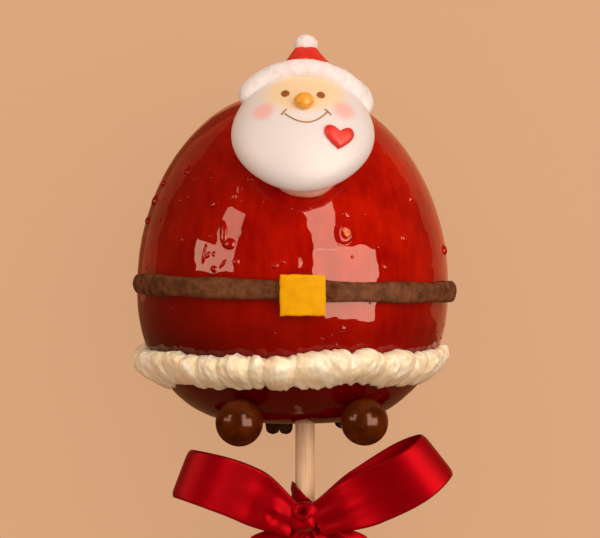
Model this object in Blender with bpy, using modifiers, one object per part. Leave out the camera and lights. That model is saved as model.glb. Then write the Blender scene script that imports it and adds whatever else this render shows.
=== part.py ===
"""A toffee apple dressed as Father Christmas, on a wooden stick tied with a satin bow.

Run with: blender --background --python part.py

Every piece is modelled upright around the stick's axis: the stick points down (-Z), the front faces -Y,
and height 0 is where the apple is widest. An empty then lays the whole sweet on its back, so that its
front faces up (+Z), its crown points to +Y and the apple rests on a small flat in its toffee coat.
"""

import math

import bmesh
import bpy
from mathutils import Matrix, Vector

MM = 0.001
GAP = 0.3 * MM  # between two pieces that touch

# Apple in its toffee coat
APPLE_RADIUS = 40.0 * MM
APPLE_RISE = 51.0 * MM  # from the widest level up, before the dimple is taken off
APPLE_DROP = 37.8 * MM
CROWN_FULLNESS = 2.0  # 2 is an ellipse, more is squarer
BASE_FULLNESS = 2.3
CROWN_DIMPLE = (7.5 * MM, 7.0 * MM)  # radius, depth
BASE_DIMPLE = (9.5 * MM, 8.0 * MM)
APPLE_SHIFT = -3.2 * MM  # the apple's axis from the stick's
APPLE_FLAT = 39.2 * MM  # from the apple's axis to the flat that it rests on
APPLE_STEPS = 44
APPLE_RINGS = 22

# Stick
STICK_RADIUS = 2.5 * MM
STICK_LENGTH = 150.0 * MM
STICK_TOP = 11.0 * MM
STICK_EDGE = 0.6 * MM

# Belt and buckle
BELT_HEIGHT = 5.4 * MM
BELT_DEPTH = 2.9 * MM
BELT_TILT = math.radians(1.6)  # the end at -X stands higher
BELT_ENDS = (math.radians(-69.0), math.radians(75.0))  # by angle from the front, to +X
BELT_UNEVEN = 0.06  # how much its height swells and shrinks
BELT_BLUNTED = 0.86  # height of a strand's ends, of its own
BELT_STEPS = 22
BELT_ARC = 7
TONGUE_DEPTH = 1.0 * MM  # of the left strand's thin end, which shows beside the buckle
TONGUE_SPAN = (math.radians(-9.0), math.radians(4.0))  # where the left strand thins, under the buckle
TONGUE_END = math.radians(17.0)
LAP_START = math.radians(11.0)  # where the right strand begins, over the tongue
LAP_ROUNDING = math.radians(4.5)
LAP_SLOPE = math.radians(5.0)
BUCKLE_SIZE = (10.1 * MM, 1.8 * MM, 10.0 * MM)
BUCKLE_PLACE = (-0.9 * MM, -1.0 * MM)  # across, up

# Piped trim
TRIM_LEVEL = -20.0 * MM
TRIM_HEIGHT = 8.4 * MM
TRIM_DEPTH = 4.8 * MM
TRIM_SHELLS = 18
TRIM_SWELL = 0.16  # how much a shell stands above the nip between two
TRIM_WANDER = (0.5 * MM, 0.35 * MM)  # slow and quick rise and fall of the ring
TRIM_STEPS = 84
TRIM_ARC = 7
TRIM_SEAT_STEPS = 3  # faces that follow the apple behind the trim

# Chocolate balls for feet
BALL_RADIUS = 5.9 * MM
BALL_LEVEL = -32.9 * MM
BALL_PLACES = {"left": -16.3 * MM, "right": 14.7 * MM}

# Head of sugar paste. It leans back on the apple: its own axes are across, up the face and out of the face.
HEAD_LEAN = math.radians(37.0)
HEAD_FOOT = Vector((-0.6 * MM, -30.0 * MM, 35.4 * MM))  # where its flat back comes nearest to the apple
HEAD_HALF = (16.9 * MM, 19.4 * MM)  # half its width and height
HEAD_FRONT = 9.0 * MM
HEAD_BACK = 6.0 * MM
HEAD_RISE = 2.2 * MM  # its centre, up the face
HEAD_CENTRE = 4.5 * MM  # its centre, out of the flat back
BRIM_RADIUS = 2.45 * MM
BRIM_HALF_WIDTH = 13.6 * MM
BRIM_LOW = 10.0 * MM
BRIM_HIGH = 14.4 * MM
BRIM_PROUD = 0.5 * MM  # of the face, at its middle
BRIM_SUNK = 3.0 * MM  # how much further back its ends lie
TUFT_HALF = (2.9 * MM, 5.0 * MM, 2.6 * MM)
TUFT_PLACE = (14.4 * MM, 10.6 * MM, 5.3 * MM)
TUFT_LEAN = math.radians(15.0)
HAT_PLACE = (1.1 * MM, 5.2 * MM)  # across, out of the flat back
HAT_RADII = (9.4 * MM, 2.1 * MM)
HAT_SPAN = (15.6 * MM, 27.2 * MM)
HAT_THICKNESS = 0.5  # of its width
POMPOM_HALF = (2.95 * MM, 2.6 * MM, 2.7 * MM)
POMPOM_RISE = 28.1 * MM
NOSE_PLACE = (0.3 * MM, 2.4 * MM)
NOSE_HALF = (2.4 * MM, 2.1 * MM, 1.9 * MM)
HEART_PLACE = (8.7 * MM, -6.2 * MM)
HEART_WIDTH = 7.6 * MM
HEART_THICKNESS = 1.3 * MM
HEART_TURN = math.radians(-8.0)
ICING_HALF = (9.6 * MM, 9.0 * MM, 4.0 * MM)
ICING_PLACE = (1.2 * MM, -5.6 * MM, -1.2 * MM)

# Dry calyx under the base
CALYX_SCALES = (("left", -6.7 * MM, 7.4 * MM, 2, -38.1 * MM), ("right", 10.2 * MM, 6.6 * MM, 1, -36.7 * MM))
# side, place across, width, teeth, level of its teeth
CALYX_TOP = -33.0 * MM
CALYX_THICKNESS = 1.0 * MM
CALYX_TAPER = 0.66  # its width at the teeth, of that at the top
CALYX_NOTCH = 1.0 * MM
CALYX_BELLY = 1.5 * MM

# Satin ribbon
RIBBON_WIDTH = 13.2 * MM
RIBBON_THICKNESS = 0.6 * MM
BOW_LEVEL = -58.6 * MM
BOW_FRONT = 7.0 * MM  # how far the loops' near ends lie in front of the stick's axis
KNOT_HALF = (4.0 * MM, 2.4 * MM, 4.3 * MM)
WRAP_THICKNESS = 0.8 * MM
WRAP_SPAN = (-66.0 * MM, -50.0 * MM)
WRAP_SLOPE = math.radians(42.0)
LOOP_DEPTH = 4.2 * MM
LOOPS = {
    "left": {"near": (-5.0, -60.6), "far": (-31.8, -47.4), "skew": 0.01, "bow": 1.2, "shear": 0.3},
    "right": {"near": (5.2, -60.4), "far": (34.0, -42.6), "skew": -0.04, "bow": -0.9, "shear": 1.3},
}  # ends of the middle line (across, up), slant of the far fold, rise of the middle, slip of the two layers
LOOP_STEPS = 24
RIBBON_LINES = 4  # faces across the ribbon
TAIL_STEPS = 12
TAILS = {"left": (-1.0, math.radians(246.0), 60.0 * MM), "right": (1.0, math.radians(291.0), 54.0 * MM)}
# side of the stick, heading, length
TAIL_START = (1.0 * MM, -60.5 * MM)  # where the two tails' inner edges meet
TAIL_FRONT = 4.4 * MM  # behind the loops and in front of the ribbon's turn around the stick
TAIL_LANDING = 0.86  # share of its length from which a tail lies on the table


# ---------------------------------------------------------------- helpers


def make_material(name, colour, roughness, metallic=0.0):
    """A Principled material in one colour (linear values)."""
    material = bpy.data.materials.new(name)
    material.use_nodes = True
    shader = material.node_tree.nodes["Principled BSDF"]
    shader.inputs["Base Color"].default_value = (*colour, 1.0)
    shader.inputs["Roughness"].default_value = roughness
    shader.inputs["Metallic"].default_value = metallic
    material.diffuse_color = (*colour, 1.0)
    return material


def add_piece(name, bm, material, sweet, smooth_angle=40.0):
    """An object made from a bmesh, on the sweet's empty, shaded smooth below an angle in degrees."""
    mesh = bpy.data.meshes.new(name)
    bm.to_mesh(mesh)
    bm.free()
    mesh.shade_smooth()
    mesh.set_sharp_from_angle(angle=math.radians(smooth_angle))
    piece = bpy.data.objects.new(name, mesh)
    if material is not None:
        mesh.materials.append(material)
    sweet["pieces"].objects.link(piece)
    piece.parent = sweet["empty"]
    return piece


def as_cutter(piece, sweet):
    """Makes a piece a guide that is not part of the model."""
    sweet["pieces"].objects.unlink(piece)
    sweet["cutters"].objects.link(piece)
    piece.display_type = "WIRE"
    piece.hide_render = True
    return piece


def cut_by(piece, *cutters):
    """Takes the cutters' shapes off a piece."""
    for cutter in cutters:
        cut = piece.modifiers.new("Cut " + cutter.name, "BOOLEAN")
        cut.operation = "DIFFERENCE"
        cut.solver = "EXACT"
        cut.object = cutter


def loft(rings, closed=False):
    """A bmesh through rings of points. Its ends are capped, or joined to each other if closed."""
    bm = bmesh.new()
    made = [[bm.verts.new(point) for point in ring] for ring in rings]
    pairs = list(zip(made, made[1:]))
    if closed:
        pairs.append((made[-1], made[0]))
    for first, second in pairs:
        for i in range(len(first)):
            j = (i + 1) % len(first)
            bm.faces.new((first[i], first[j], second[j], second[i]))
    if not closed:
        bm.faces.new(made[0])
        bm.faces.new(made[-1])
    bmesh.ops.recalc_face_normals(bm, faces=bm.faces)
    return bm


def ellipsoid(half, centre=(0, 0, 0), segments=14, rings=8):
    """A bmesh of a stretched ball."""
    bm = bmesh.new()
    bmesh.ops.create_uvsphere(bm, u_segments=segments, v_segments=rings, radius=1.0)
    bmesh.ops.transform(bm, matrix=Matrix.Translation(centre) @ Matrix.Diagonal((*half, 1.0)), verts=bm.verts)
    return bm


def cylinder(radius, height):
    """A bmesh of an upright cylinder."""
    bm = bmesh.new()
    bmesh.ops.create_cone(bm, segments=20, radius1=radius, radius2=radius, depth=height, cap_ends=True)
    return bm


def block(size, centre):
    """A bmesh of a box."""
    bm = bmesh.new()
    bmesh.ops.create_cube(bm, size=1.0)
    bmesh.ops.transform(bm, matrix=Matrix.Translation(centre) @ Matrix.Diagonal((*size, 1.0)), verts=bm.verts)
    return bm


def smooth_step(value):
    """0 below 0, 1 above 1, and a smooth rise between."""
    value = min(1.0, max(0.0, value))
    return value * value * (3.0 - 2.0 * value)


# ---------------------------------------------------------------- apple and stick


def apple_outline(turn, grown=0.0):
    """(radius, height) on the apple's outline, from the crown at turn pi/2 to the base at -pi/2."""
    crown = turn > 0
    power = 2.0 / (CROWN_FULLNESS if crown else BASE_FULLNESS)
    rise = APPLE_RISE + grown if crown else -APPLE_DROP - grown
    radius = (APPLE_RADIUS + grown) * max(0.0, math.cos(turn)) ** power
    dimple_radius, dimple_depth = CROWN_DIMPLE if crown else BASE_DIMPLE
    dimple = math.copysign(dimple_depth, rise) * math.exp(-((radius / dimple_radius) ** 2))
    return radius, rise * abs(math.sin(turn)) ** power - dimple


def apple_radius(height):
    """The apple's radius at a height, outside its dimples."""
    share = height / APPLE_RISE if height > 0 else -height / APPLE_DROP
    fullness = CROWN_FULLNESS if height > 0 else BASE_FULLNESS
    return APPLE_RADIUS * (1.0 - share**fullness) ** (1.0 / fullness)


def apple_body(sweet, grown=0.0, name="apple", material=None):
    """The apple's outline turned about its own axis."""
    bm = bmesh.new()
    turns = [math.pi / 2 - math.pi * i / APPLE_RINGS for i in range(APPLE_RINGS + 1)]
    points = [apple_outline(turn, grown) for turn in turns]
    ring = [bm.verts.new((radius, 0.0, height)) for radius, height in points]
    ring[0].co.x = 0.0
    ring[-1].co.x = 0.0
    for upper, lower in zip(ring, ring[1:]):
        bm.edges.new((upper, lower))
    body = add_piece(name, bm, material, sweet)
    body.location.x = APPLE_SHIFT
    turned = body.modifiers.new("Turned", "SCREW")
    turned.steps = turned.render_steps = APPLE_STEPS
    turned.use_merge_vertices = True
    turned.merge_threshold = 0.00001
    turned.use_smooth_shade = True
    return body


def floor_cutter(sweet):
    """A block under the plane that the sweet rests on."""
    thick = 10 * MM
    bm = block((120 * MM, thick, 160 * MM), (0, APPLE_FLAT + thick / 2, 0))
    return as_cutter(add_piece("floor_cutter", bm, None, sweet), sweet)


def stick(sweet, material):
    """The round stick, its edges eased, and the cutter for its hole in the apple."""
    rod = add_piece("stick", cylinder(STICK_RADIUS, STICK_LENGTH), material, sweet)
    rod.location.z = STICK_TOP - STICK_LENGTH / 2
    eased = rod.modifiers.new("Eased", "BEVEL")
    eased.width = STICK_EDGE
    eased.segments = 2
    eased.limit_method = "ANGLE"
    eased.angle_limit = math.radians(60)
    hole = add_piece("stick_hole", cylinder(STICK_RADIUS + GAP, STICK_LENGTH), None, sweet)
    hole.location.z = STICK_TOP + GAP - STICK_LENGTH / 2
    return as_cutter(hole, sweet)


def calyx(sweet, material):
    """Toothed dry scales that hang from the hollow around the stick."""
    for side, across, width, teeth, level in CALYX_SCALES:
        steps = 5 * teeth
        rings = []
        for i in range(steps + 1):
            share = i / steps
            tooth = abs(math.sin(math.pi * teeth * share)) ** 0.5
            low = level + CALYX_NOTCH * (1.0 - tooth)
            top_x = across + width * (share - 0.5)
            low_x = across + width * CALYX_TAPER * (share - 0.5)
            front = -CALYX_BELLY * math.sin(math.pi * share)
            rings.append(
                [
                    (top_x, front, CALYX_TOP),
                    (top_x, front + CALYX_THICKNESS, CALYX_TOP),
                    (low_x, front + CALYX_THICKNESS, low),
                    (low_x, front, low),
                ]
            )
        scale = add_piece("calyx_" + side, loft(rings), material, sweet)
        cut_by(scale, sweet["apple_grown"])


# ---------------------------------------------------------------- belt, trim and feet


def round_the_apple(angle, height, out):
    """A point by angle from the front (to +X), height, and distance out of the apple's surface."""
    radius = apple_radius(height) + out
    return (APPLE_SHIFT + radius * math.sin(angle), -radius * math.cos(angle), height)


def belt_strand(name, start, end, depth_at, lift_at, sweet, material):
    """A half-round strand of chocolate on the apple, from one angle to another."""
    rings = []
    for i in range(BELT_STEPS + 1):
        angle = start + (end - start) * i / BELT_STEPS
        level = -math.tan(BELT_TILT) * APPLE_RADIUS * math.sin(angle)
        half = BELT_HEIGHT / 2 * (1.0 - BELT_UNEVEN + BELT_UNEVEN * math.sin(11.0 * angle))
        if i in (0, BELT_STEPS):
            half *= BELT_BLUNTED
        ring = []
        for k in range(BELT_ARC + 1):
            turn = math.pi * k / BELT_ARC
            height = level - half * math.cos(turn)
            out = GAP + lift_at(angle) + depth_at(angle) * math.sin(turn) ** 0.7
            ring.append(round_the_apple(angle, height, out))
        rings.append(ring)
    add_piece(name, loft(rings), material, sweet)


def belt(sweet, material):
    """Two strands: the left one runs under the buckle as a thin tongue, and the right one laps over it."""

    def left_depth(angle):
        thinned = smooth_step((angle - TONGUE_SPAN[0]) / (TONGUE_SPAN[1] - TONGUE_SPAN[0]))
        return BELT_DEPTH + (TONGUE_DEPTH - BELT_DEPTH) * thinned

    def right_lift(angle):
        lap = 1.0 - smooth_step((angle - TONGUE_END) / LAP_SLOPE)
        return (TONGUE_DEPTH + GAP) * lap

    def right_depth(angle):
        rounded = smooth_step((angle - LAP_START) / LAP_ROUNDING)
        return (BELT_DEPTH - right_lift(angle) * 0.6) * (0.35 + 0.65 * rounded)

    belt_strand("belt_left", BELT_ENDS[0], TONGUE_END, left_depth, lambda angle: 0.0, sweet, material)
    belt_strand("belt_right", LAP_START, BELT_ENDS[1], right_depth, right_lift, sweet, material)


def buckle(sweet, material):
    """A square of yellow sweet, bent a little to the apple and resting on the belt."""
    bm = bmesh.new()
    bmesh.ops.create_cube(bm, size=1.0)
    bmesh.ops.transform(bm, matrix=Matrix.Diagonal((*BUCKLE_SIZE, 1.0)), verts=bm.verts)
    upright = [edge for edge in bm.edges if abs(edge.verts[0].co.x - edge.verts[1].co.x) > MM]
    bmesh.ops.subdivide_edges(bm, edges=upright, cuts=5, use_grid_fill=True)
    across, up = BUCKLE_PLACE
    inner = apple_radius(0.0) + GAP + BELT_DEPTH + GAP
    for vert in bm.verts:
        angle = (vert.co.x + across - APPLE_SHIFT) / APPLE_RADIUS
        radius = inner + BUCKLE_SIZE[1] / 2 - vert.co.y
        vert.co = (APPLE_SHIFT + radius * math.sin(angle), -radius * math.cos(angle), up + vert.co.z)
    plate = add_piece("buckle", bm, material, sweet)
    eased = plate.modifiers.new("Eased", "BEVEL")
    eased.width = 0.4 * MM
    eased.segments = 2
    eased.limit_method = "ANGLE"


def trim(sweet, material):
    """A piped ring of cream: shells one after another, each swelling and dropping a little."""
    rings = []
    for i in range(TRIM_STEPS):
        angle = 2 * math.pi * i / TRIM_STEPS
        wander = TRIM_WANDER[0] * math.sin(2 * angle + 0.6) + TRIM_WANDER[1] * math.sin(5 * angle)
        shell = abs(math.sin(TRIM_SHELLS / 2 * angle + 0.35 * math.sin(3 * angle)))
        swell = 1.0 - TRIM_SWELL + TRIM_SWELL * shell**0.5
        half = TRIM_HEIGHT / 2 * swell
        ring = []
        for k in range(TRIM_ARC + 1):
            turn = math.pi * k / TRIM_ARC
            height = TRIM_LEVEL + wander - half * math.cos(turn)
            out = GAP + TRIM_DEPTH * swell * math.sin(turn) ** 0.8
            ring.append(round_the_apple(angle, height, out))
        for k in range(1, TRIM_SEAT_STEPS):
            height = TRIM_LEVEL + wander + half * (1.0 - 2.0 * k / TRIM_SEAT_STEPS)
            ring.append(round_the_apple(angle, height, GAP))
        rings.append(ring)
    ring = add_piece("cream_trim", loft(rings, closed=True), material, sweet, smooth_angle=70)
    cut_by(ring, sweet["floor"])


def ball_distance():
    """How far from the apple's axis a ball's centre stands, for the ball just to touch the apple."""
    reach = BALL_RADIUS + GAP
    near, far = APPLE_RADIUS / 2, APPLE_RADIUS * 1.5
    outline = [apple_outline(-math.pi / 2 * i / 200) for i in range(201)]
    for _ in range(40):
        middle = (near + far) / 2
        clear = min(math.hypot(middle - radius, BALL_LEVEL - height) for radius, height in outline)
        if clear < reach:
            near = middle
        else:
            far = middle
    return far


def feet(sweet, material):
    """Two chocolate balls that touch the apple's lower front."""
    distance = ball_distance()
    for side, across in BALL_PLACES.items():
        bm = bmesh.new()
        bmesh.ops.create_uvsphere(bm, u_segments=16, v_segments=9, radius=BALL_RADIUS)
        ball = add_piece("foot_ball_" + side, bm, material, sweet)
        front = math.sqrt(distance**2 - (across - APPLE_SHIFT) ** 2)
        ball.location = (across, -front, BALL_LEVEL)


# ---------------------------------------------------------------- head


def head_axes():
    """The matrix from the head's own axes (across, up the face, out of the face) to the upright sweet."""
    up = Vector((0.0, math.sin(HEAD_LEAN), math.cos(HEAD_LEAN)))
    out = Vector((0.0, -math.cos(HEAD_LEAN), math.sin(HEAD_LEAN)))
    axes = Matrix((Vector((1.0, 0.0, 0.0)), up, out)).transposed().to_4x4()
    return Matrix.Translation(HEAD_FOOT) @ axes


def head_fullness(share):
    """The head's width by height, from -1 at the beard's tip to 1 at the crown, against an ellipse's."""
    return 1.03 - 0.18 * share - 0.22 * share**2


def flatten_under(bm):
    """Cuts away what lies below a bmesh's own ground plane, and closes the cut."""
    whole = bm.verts[:] + bm.edges[:] + bm.faces[:]
    cut = bmesh.ops.bisect_plane(bm, geom=whole, plane_co=(0, 0, 0), plane_no=(0, 0, -1), clear_outer=True)
    edges = [part for part in cut["geom_cut"] if isinstance(part, bmesh.types.BMEdge)]
    bmesh.ops.contextual_create(bm, geom=edges)


def head_shape(grown=0.0):
    """The face and beard as one pebble, wider at the beard. It has a flat back unless it is grown."""
    bm = bmesh.new()
    bmesh.ops.create_uvsphere(bm, u_segments=28, v_segments=16, radius=1.0)
    bmesh.ops.rotate(bm, cent=(0, 0, 0), matrix=Matrix.Rotation(-math.pi / 2, 3, "X"), verts=bm.verts)
    for vert in bm.verts:
        x, y, z = vert.co
        depth = HEAD_FRONT if z > 0 else HEAD_BACK
        vert.co = (
            x * (HEAD_HALF[0] * head_fullness(y) + grown),
            HEAD_RISE + y * (HEAD_HALF[1] + grown),
            HEAD_CENTRE + z * (depth + grown),
        )
    if not grown:
        flatten_under(bm)
    return bm


def face_height(across, up):
    """How far the head's front stands out of its flat back, at a place on the face."""
    y = (up - HEAD_RISE) / HEAD_HALF[1]
    x = across / (HEAD_HALF[0] * head_fullness(y))
    return HEAD_CENTRE + HEAD_FRONT * math.sqrt(max(0.0, 1.0 - x * x - y * y))


def face_frame(across, up):
    """A matrix that stands a small piece on the face: its Z is the face's own normal there."""
    step = 0.5 * MM
    here = Vector((across, up, face_height(across, up)))
    aside = Vector((across + step, up, face_height(across + step, up))) - here
    above = Vector((across, up + step, face_height(across, up + step))) - here
    normal = aside.cross(above).normalized()
    upward = (above - above.project(normal)).normalized()
    axes = Matrix((upward.cross(normal), upward, normal)).transposed().to_4x4()
    return Matrix.Translation(here) @ axes


def brim_route():
    """Points of the fur brim's middle line over the brow, with the tube's share of its radius."""
    count = 14
    for i in range(count + 1):
        side = 2.0 * i / count - 1.0
        turn = side * math.pi / 2 * 0.98
        across = BRIM_HALF_WIDTH * math.sin(turn)
        up = BRIM_LOW + (BRIM_HIGH - BRIM_LOW) * math.cos(turn) ** 1.25
        out = face_height(across * 0.92, up * 0.92) + BRIM_PROUD - BRIM_SUNK * side**2
        ends = 1.0 - 0.25 * smooth_step((abs(side) - 0.86) / 0.14)
        fuller = 1.0 + 0.12 * smooth_step((abs(side) - 0.35) / 0.4)
        yield (across, up, out), ends * fuller


def brim_tube(sweet, grown=0.0):
    """A bmesh of the brim's tube along its route."""
    route = list(brim_route())
    curve = bpy.data.curves.new("brim_line", "CURVE")
    curve.dimensions = "3D"
    curve.bevel_depth = BRIM_RADIUS + grown
    curve.bevel_resolution = 3
    curve.use_fill_caps = True
    line = curve.splines.new("POLY")
    line.points.add(len(route) - 1)
    for point, (place, share) in zip(line.points, route):
        point.co = (*place, 1.0)
        point.radius = share
    tube = bpy.data.objects.new("brim_line", curve)
    sweet["cutters"].objects.link(tube)
    graph = bpy.context.evaluated_depsgraph_get()
    bm = bmesh.new()
    bm.from_mesh(bpy.data.meshes.new_from_object(tube.evaluated_get(graph)))
    bpy.data.objects.remove(tube)
    bmesh.ops.remove_doubles(bm, verts=bm.verts, dist=0.02 * MM)
    bmesh.ops.recalc_face_normals(bm, faces=bm.faces)
    return bm


def brim(sweet, material, axes, head_cutter):
    """The fur brim with the tuft at its +X end, cut to sit on the head."""
    fur = add_piece("hat_brim", brim_tube(sweet), material, sweet)
    fur.matrix_local = axes
    tuft = as_cutter(add_piece("brim_tuft", ellipsoid(TUFT_HALF), None, sweet), sweet)
    tuft.matrix_local = axes @ Matrix.Translation(TUFT_PLACE) @ Matrix.Rotation(TUFT_LEAN, 4, "Z")
    join = fur.modifiers.new("Tuft", "BOOLEAN")
    join.operation = "UNION"
    join.solver = "EXACT"
    join.object = tuft
    cut_by(fur, head_cutter)


def hat(sweet, red, white, axes, head_cutter):
    """The small cap with its pompom, behind the brim."""
    bm = bmesh.new()
    low, high = HAT_SPAN
    wide, narrow = HAT_RADII
    bmesh.ops.create_cone(bm, segments=20, radius1=wide, radius2=narrow, depth=high - low, cap_ends=True)
    bmesh.ops.rotate(bm, cent=(0, 0, 0), matrix=Matrix.Rotation(-math.pi / 2, 3, "X"), verts=bm.verts)
    for vert in bm.verts:
        vert.co.x += HAT_PLACE[0]
        vert.co.y += (low + high) / 2
        vert.co.z = vert.co.z * HAT_THICKNESS + HAT_PLACE[1]
    cap = add_piece("hat", bm, red, sweet)
    cap.matrix_local = axes
    brim_cutter = as_cutter(add_piece("brim_grown", brim_tube(sweet, GAP), None, sweet), sweet)
    brim_cutter.matrix_local = axes
    centre = (HAT_PLACE[0], POMPOM_RISE, HAT_PLACE[1])
    grown = [half + GAP for half in POMPOM_HALF]
    pompom_cutter = as_cutter(add_piece("pompom_grown", ellipsoid(grown, centre), None, sweet), sweet)
    pompom_cutter.matrix_local = axes
    cut_by(cap, head_cutter, brim_cutter, pompom_cutter)
    pompom = add_piece("pompom", ellipsoid(POMPOM_HALF, centre), white, sweet)
    pompom.matrix_local = axes


def nose(sweet, material, axes):
    """A small ball set on the face, with a flat seat."""
    bm = ellipsoid(NOSE_HALF, (0, 0, NOSE_HALF[2] * 0.55))
    flatten_under(bm)
    bmesh.ops.translate(bm, verts=bm.verts, vec=(0, 0, GAP))
    ball = add_piece("nose", bm, material, sweet)
    ball.matrix_local = axes @ face_frame(*NOSE_PLACE)


def heart_outline(count=24):
    """Points of a heart one unit wide, by the usual sine formula."""
    for i in range(count):
        turn = 2 * math.pi * i / count
        x = math.sin(turn) ** 3
        y = (13 * math.cos(turn) - 5 * math.cos(2 * turn) - 2 * math.cos(3 * turn) - math.cos(4 * turn)) / 16
        yield 0.5 * x, 0.44 * y + 0.04


def heart(sweet, material, axes):
    """A small raised heart on the beard."""
    low, high = GAP, GAP + HEART_THICKNESS
    outline = [Vector((x, y, 0.0)) * HEART_WIDTH for x, y in heart_outline()]
    levels = ((0.97, low), (1.0, (low + high) / 2), (0.82, high))
    rings = [[point * share + Vector((0, 0, level)) for point in outline] for share, level in levels]
    piece = add_piece("heart", loft(rings), material, sweet, smooth_angle=60)
    piece.matrix_local = axes @ face_frame(*HEART_PLACE) @ Matrix.Rotation(HEART_TURN, 4, "Z")


def icing(sweet, material, axes):
    """The dab of icing between the head's flat back and the apple."""
    pad = add_piece("icing_dab", ellipsoid(ICING_HALF, ICING_PLACE, 20, 12), material, sweet)
    pad.matrix_local = axes
    size = 60 * MM
    behind = block((size, size, size), (0, 0, size / 2 - GAP))
    head_back = as_cutter(add_piece("head_back", behind, None, sweet), sweet)
    head_back.matrix_local = axes
    cut_by(pad, sweet["apple_grown"], head_back)


def head(sweet, materials):
    """The sugar head with all that is on it."""
    axes = head_axes()
    face = add_piece("head", head_shape(), materials["white"], sweet)
    face.matrix_local = axes
    head_cutter = as_cutter(add_piece("head_grown", head_shape(GAP), None, sweet), sweet)
    head_cutter.matrix_local = axes
    brim(sweet, materials["fur"], axes, head_cutter)
    hat(sweet, materials["red"], materials["fur"], axes, head_cutter)
    nose(sweet, materials["nose"], axes)
    heart(sweet, materials["red"], axes)
    icing(sweet, materials["icing"], axes)


# ---------------------------------------------------------------- ribbon


def ribbon_sheet(name, sections, sweet, material):
    """A strip of ribbon through its cross lines, given a thickness on both sides."""
    bm = bmesh.new()
    made = [[bm.verts.new(point) for point in line] for line in sections]
    for first, second in zip(made, made[1:]):
        for i in range(len(first) - 1):
            bm.faces.new((first[i], first[i + 1], second[i + 1], second[i]))
    bmesh.ops.recalc_face_normals(bm, faces=bm.faces)
    strip = add_piece(name, bm, material, sweet, smooth_angle=60)
    thick = strip.modifiers.new("Thickness", "SOLIDIFY")
    thick.thickness = RIBBON_THICKNESS
    thick.offset = 0.0
    thick.use_even_offset = True
    cut_by(strip, sweet["knot_grown"])


def bow_loop(side, sweet, material):
    """One loop of the bow: out from the knot in front, over its far end and back behind."""
    loop = LOOPS[side]
    near = Vector((loop["near"][0], 0.0, loop["near"][1])) * MM
    heading = Vector((loop["far"][0], 0.0, loop["far"][1])) * MM - near
    length = heading.length
    heading.normalize()
    across = Vector((-heading.z, 0.0, heading.x)) * (1.0 if side == "right" else -1.0)
    knot_end = near - Vector((0.0, BOW_FRONT, 0.0))
    sections = []
    for i in range(LOOP_STEPS + 1):
        turn = 2 * math.pi * i / LOOP_STEPS
        along = length * (1.0 - math.cos(turn)) / 2
        opened = 1.54 * math.sin(turn) * (1.0 - math.cos(turn)) / 2
        front = LOOP_DEPTH * opened + 0.9 * MM * math.cos(turn / 2)
        pinch = 0.5 + 0.5 * smooth_step(along / length / 0.42)
        aside = MM * (loop["bow"] * math.sin(math.pi * along / length) - loop["shear"] * opened)
        section = []
        for k in range(RIBBON_LINES + 1):
            share = k / RIBBON_LINES - 0.5
            slanted = along * (1.0 + 4 * loop["skew"] * share * RIBBON_WIDTH / length)
            place = knot_end + heading * slanted - Vector((0.0, front, 0.0))
            section.append(place + across * (share * RIBBON_WIDTH * pinch + aside))
        sections.append(section)
    ribbon_sheet("bow_loop_" + side, sections, sweet, material)


def ribbon_tail(side, sweet, material):
    """A loose end below the knot, which droops to the back, lands on the table and is cut on the slant."""
    hand, angle, length = TAILS[side]
    start_x, start_z = TAIL_START
    heading = Vector((math.cos(angle), 0.0, math.sin(angle)))
    across = Vector((-heading.z, 0.0, heading.x))
    droop = APPLE_FLAT - RIBBON_THICKNESS / 2 + TAIL_FRONT
    sections = []
    for i in range(TAIL_STEPS + 1):
        section = []
        for k in range(RIBBON_LINES + 1):
            share = k / RIBBON_LINES - 0.5
            slant = 0.5 * RIBBON_WIDTH * share * (i / TAIL_STEPS) ** 2
            along = length * i / TAIL_STEPS + slant
            down = max(0.0, along / length)
            pinch = 0.38 + 0.62 * smooth_step(down / 0.13)
            fallen = smooth_step(down / TAIL_LANDING) ** 1.6
            aside = hand * (GAP + RIBBON_WIDTH / 2 * pinch * across.x)
            place = Vector((start_x + aside, droop * fallen - TAIL_FRONT, start_z))
            section.append(place + heading * along + across * share * RIBBON_WIDTH * pinch)
        sections.append(section)
    ribbon_sheet("ribbon_tail_" + side, sections, sweet, material)


def knot_shape(grown=0.0):
    """The knot's plump middle, in front of the stick."""
    half = [size + grown for size in KNOT_HALF]
    return ellipsoid(half, (0.2 * MM, -BOW_FRONT - 0.2 * MM, BOW_LEVEL))


def knot(sweet, material):
    """The knot, and the ribbon's turn around the stick with its slanting top."""
    add_piece("bow_knot", knot_shape(), material, sweet)
    sweet["knot_grown"] = as_cutter(add_piece("knot_grown", knot_shape(GAP), None, sweet), sweet)
    low, high = WRAP_SPAN
    inner, outer = STICK_RADIUS + GAP, STICK_RADIUS + GAP + WRAP_THICKNESS
    count = 20
    rings = []
    for i in range(count):
        angle = 2 * math.pi * i / count
        top = high - 3.6 * MM - math.tan(WRAP_SLOPE) * outer * math.cos(angle)
        foot = low + 1.2 * MM * math.sin(angle)
        direction = Vector((math.cos(angle), math.sin(angle), 0.0))
        rings.append(
            [
                direction * inner + Vector((0, 0, foot)),
                direction * outer + Vector((0, 0, foot)),
                direction * outer + Vector((0, 0, top)),
                direction * inner + Vector((0, 0, top)),
            ]
        )
    add_piece("ribbon_wrap", loft(rings, closed=True), material, sweet)


# ---------------------------------------------------------------- the whole sweet


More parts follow.
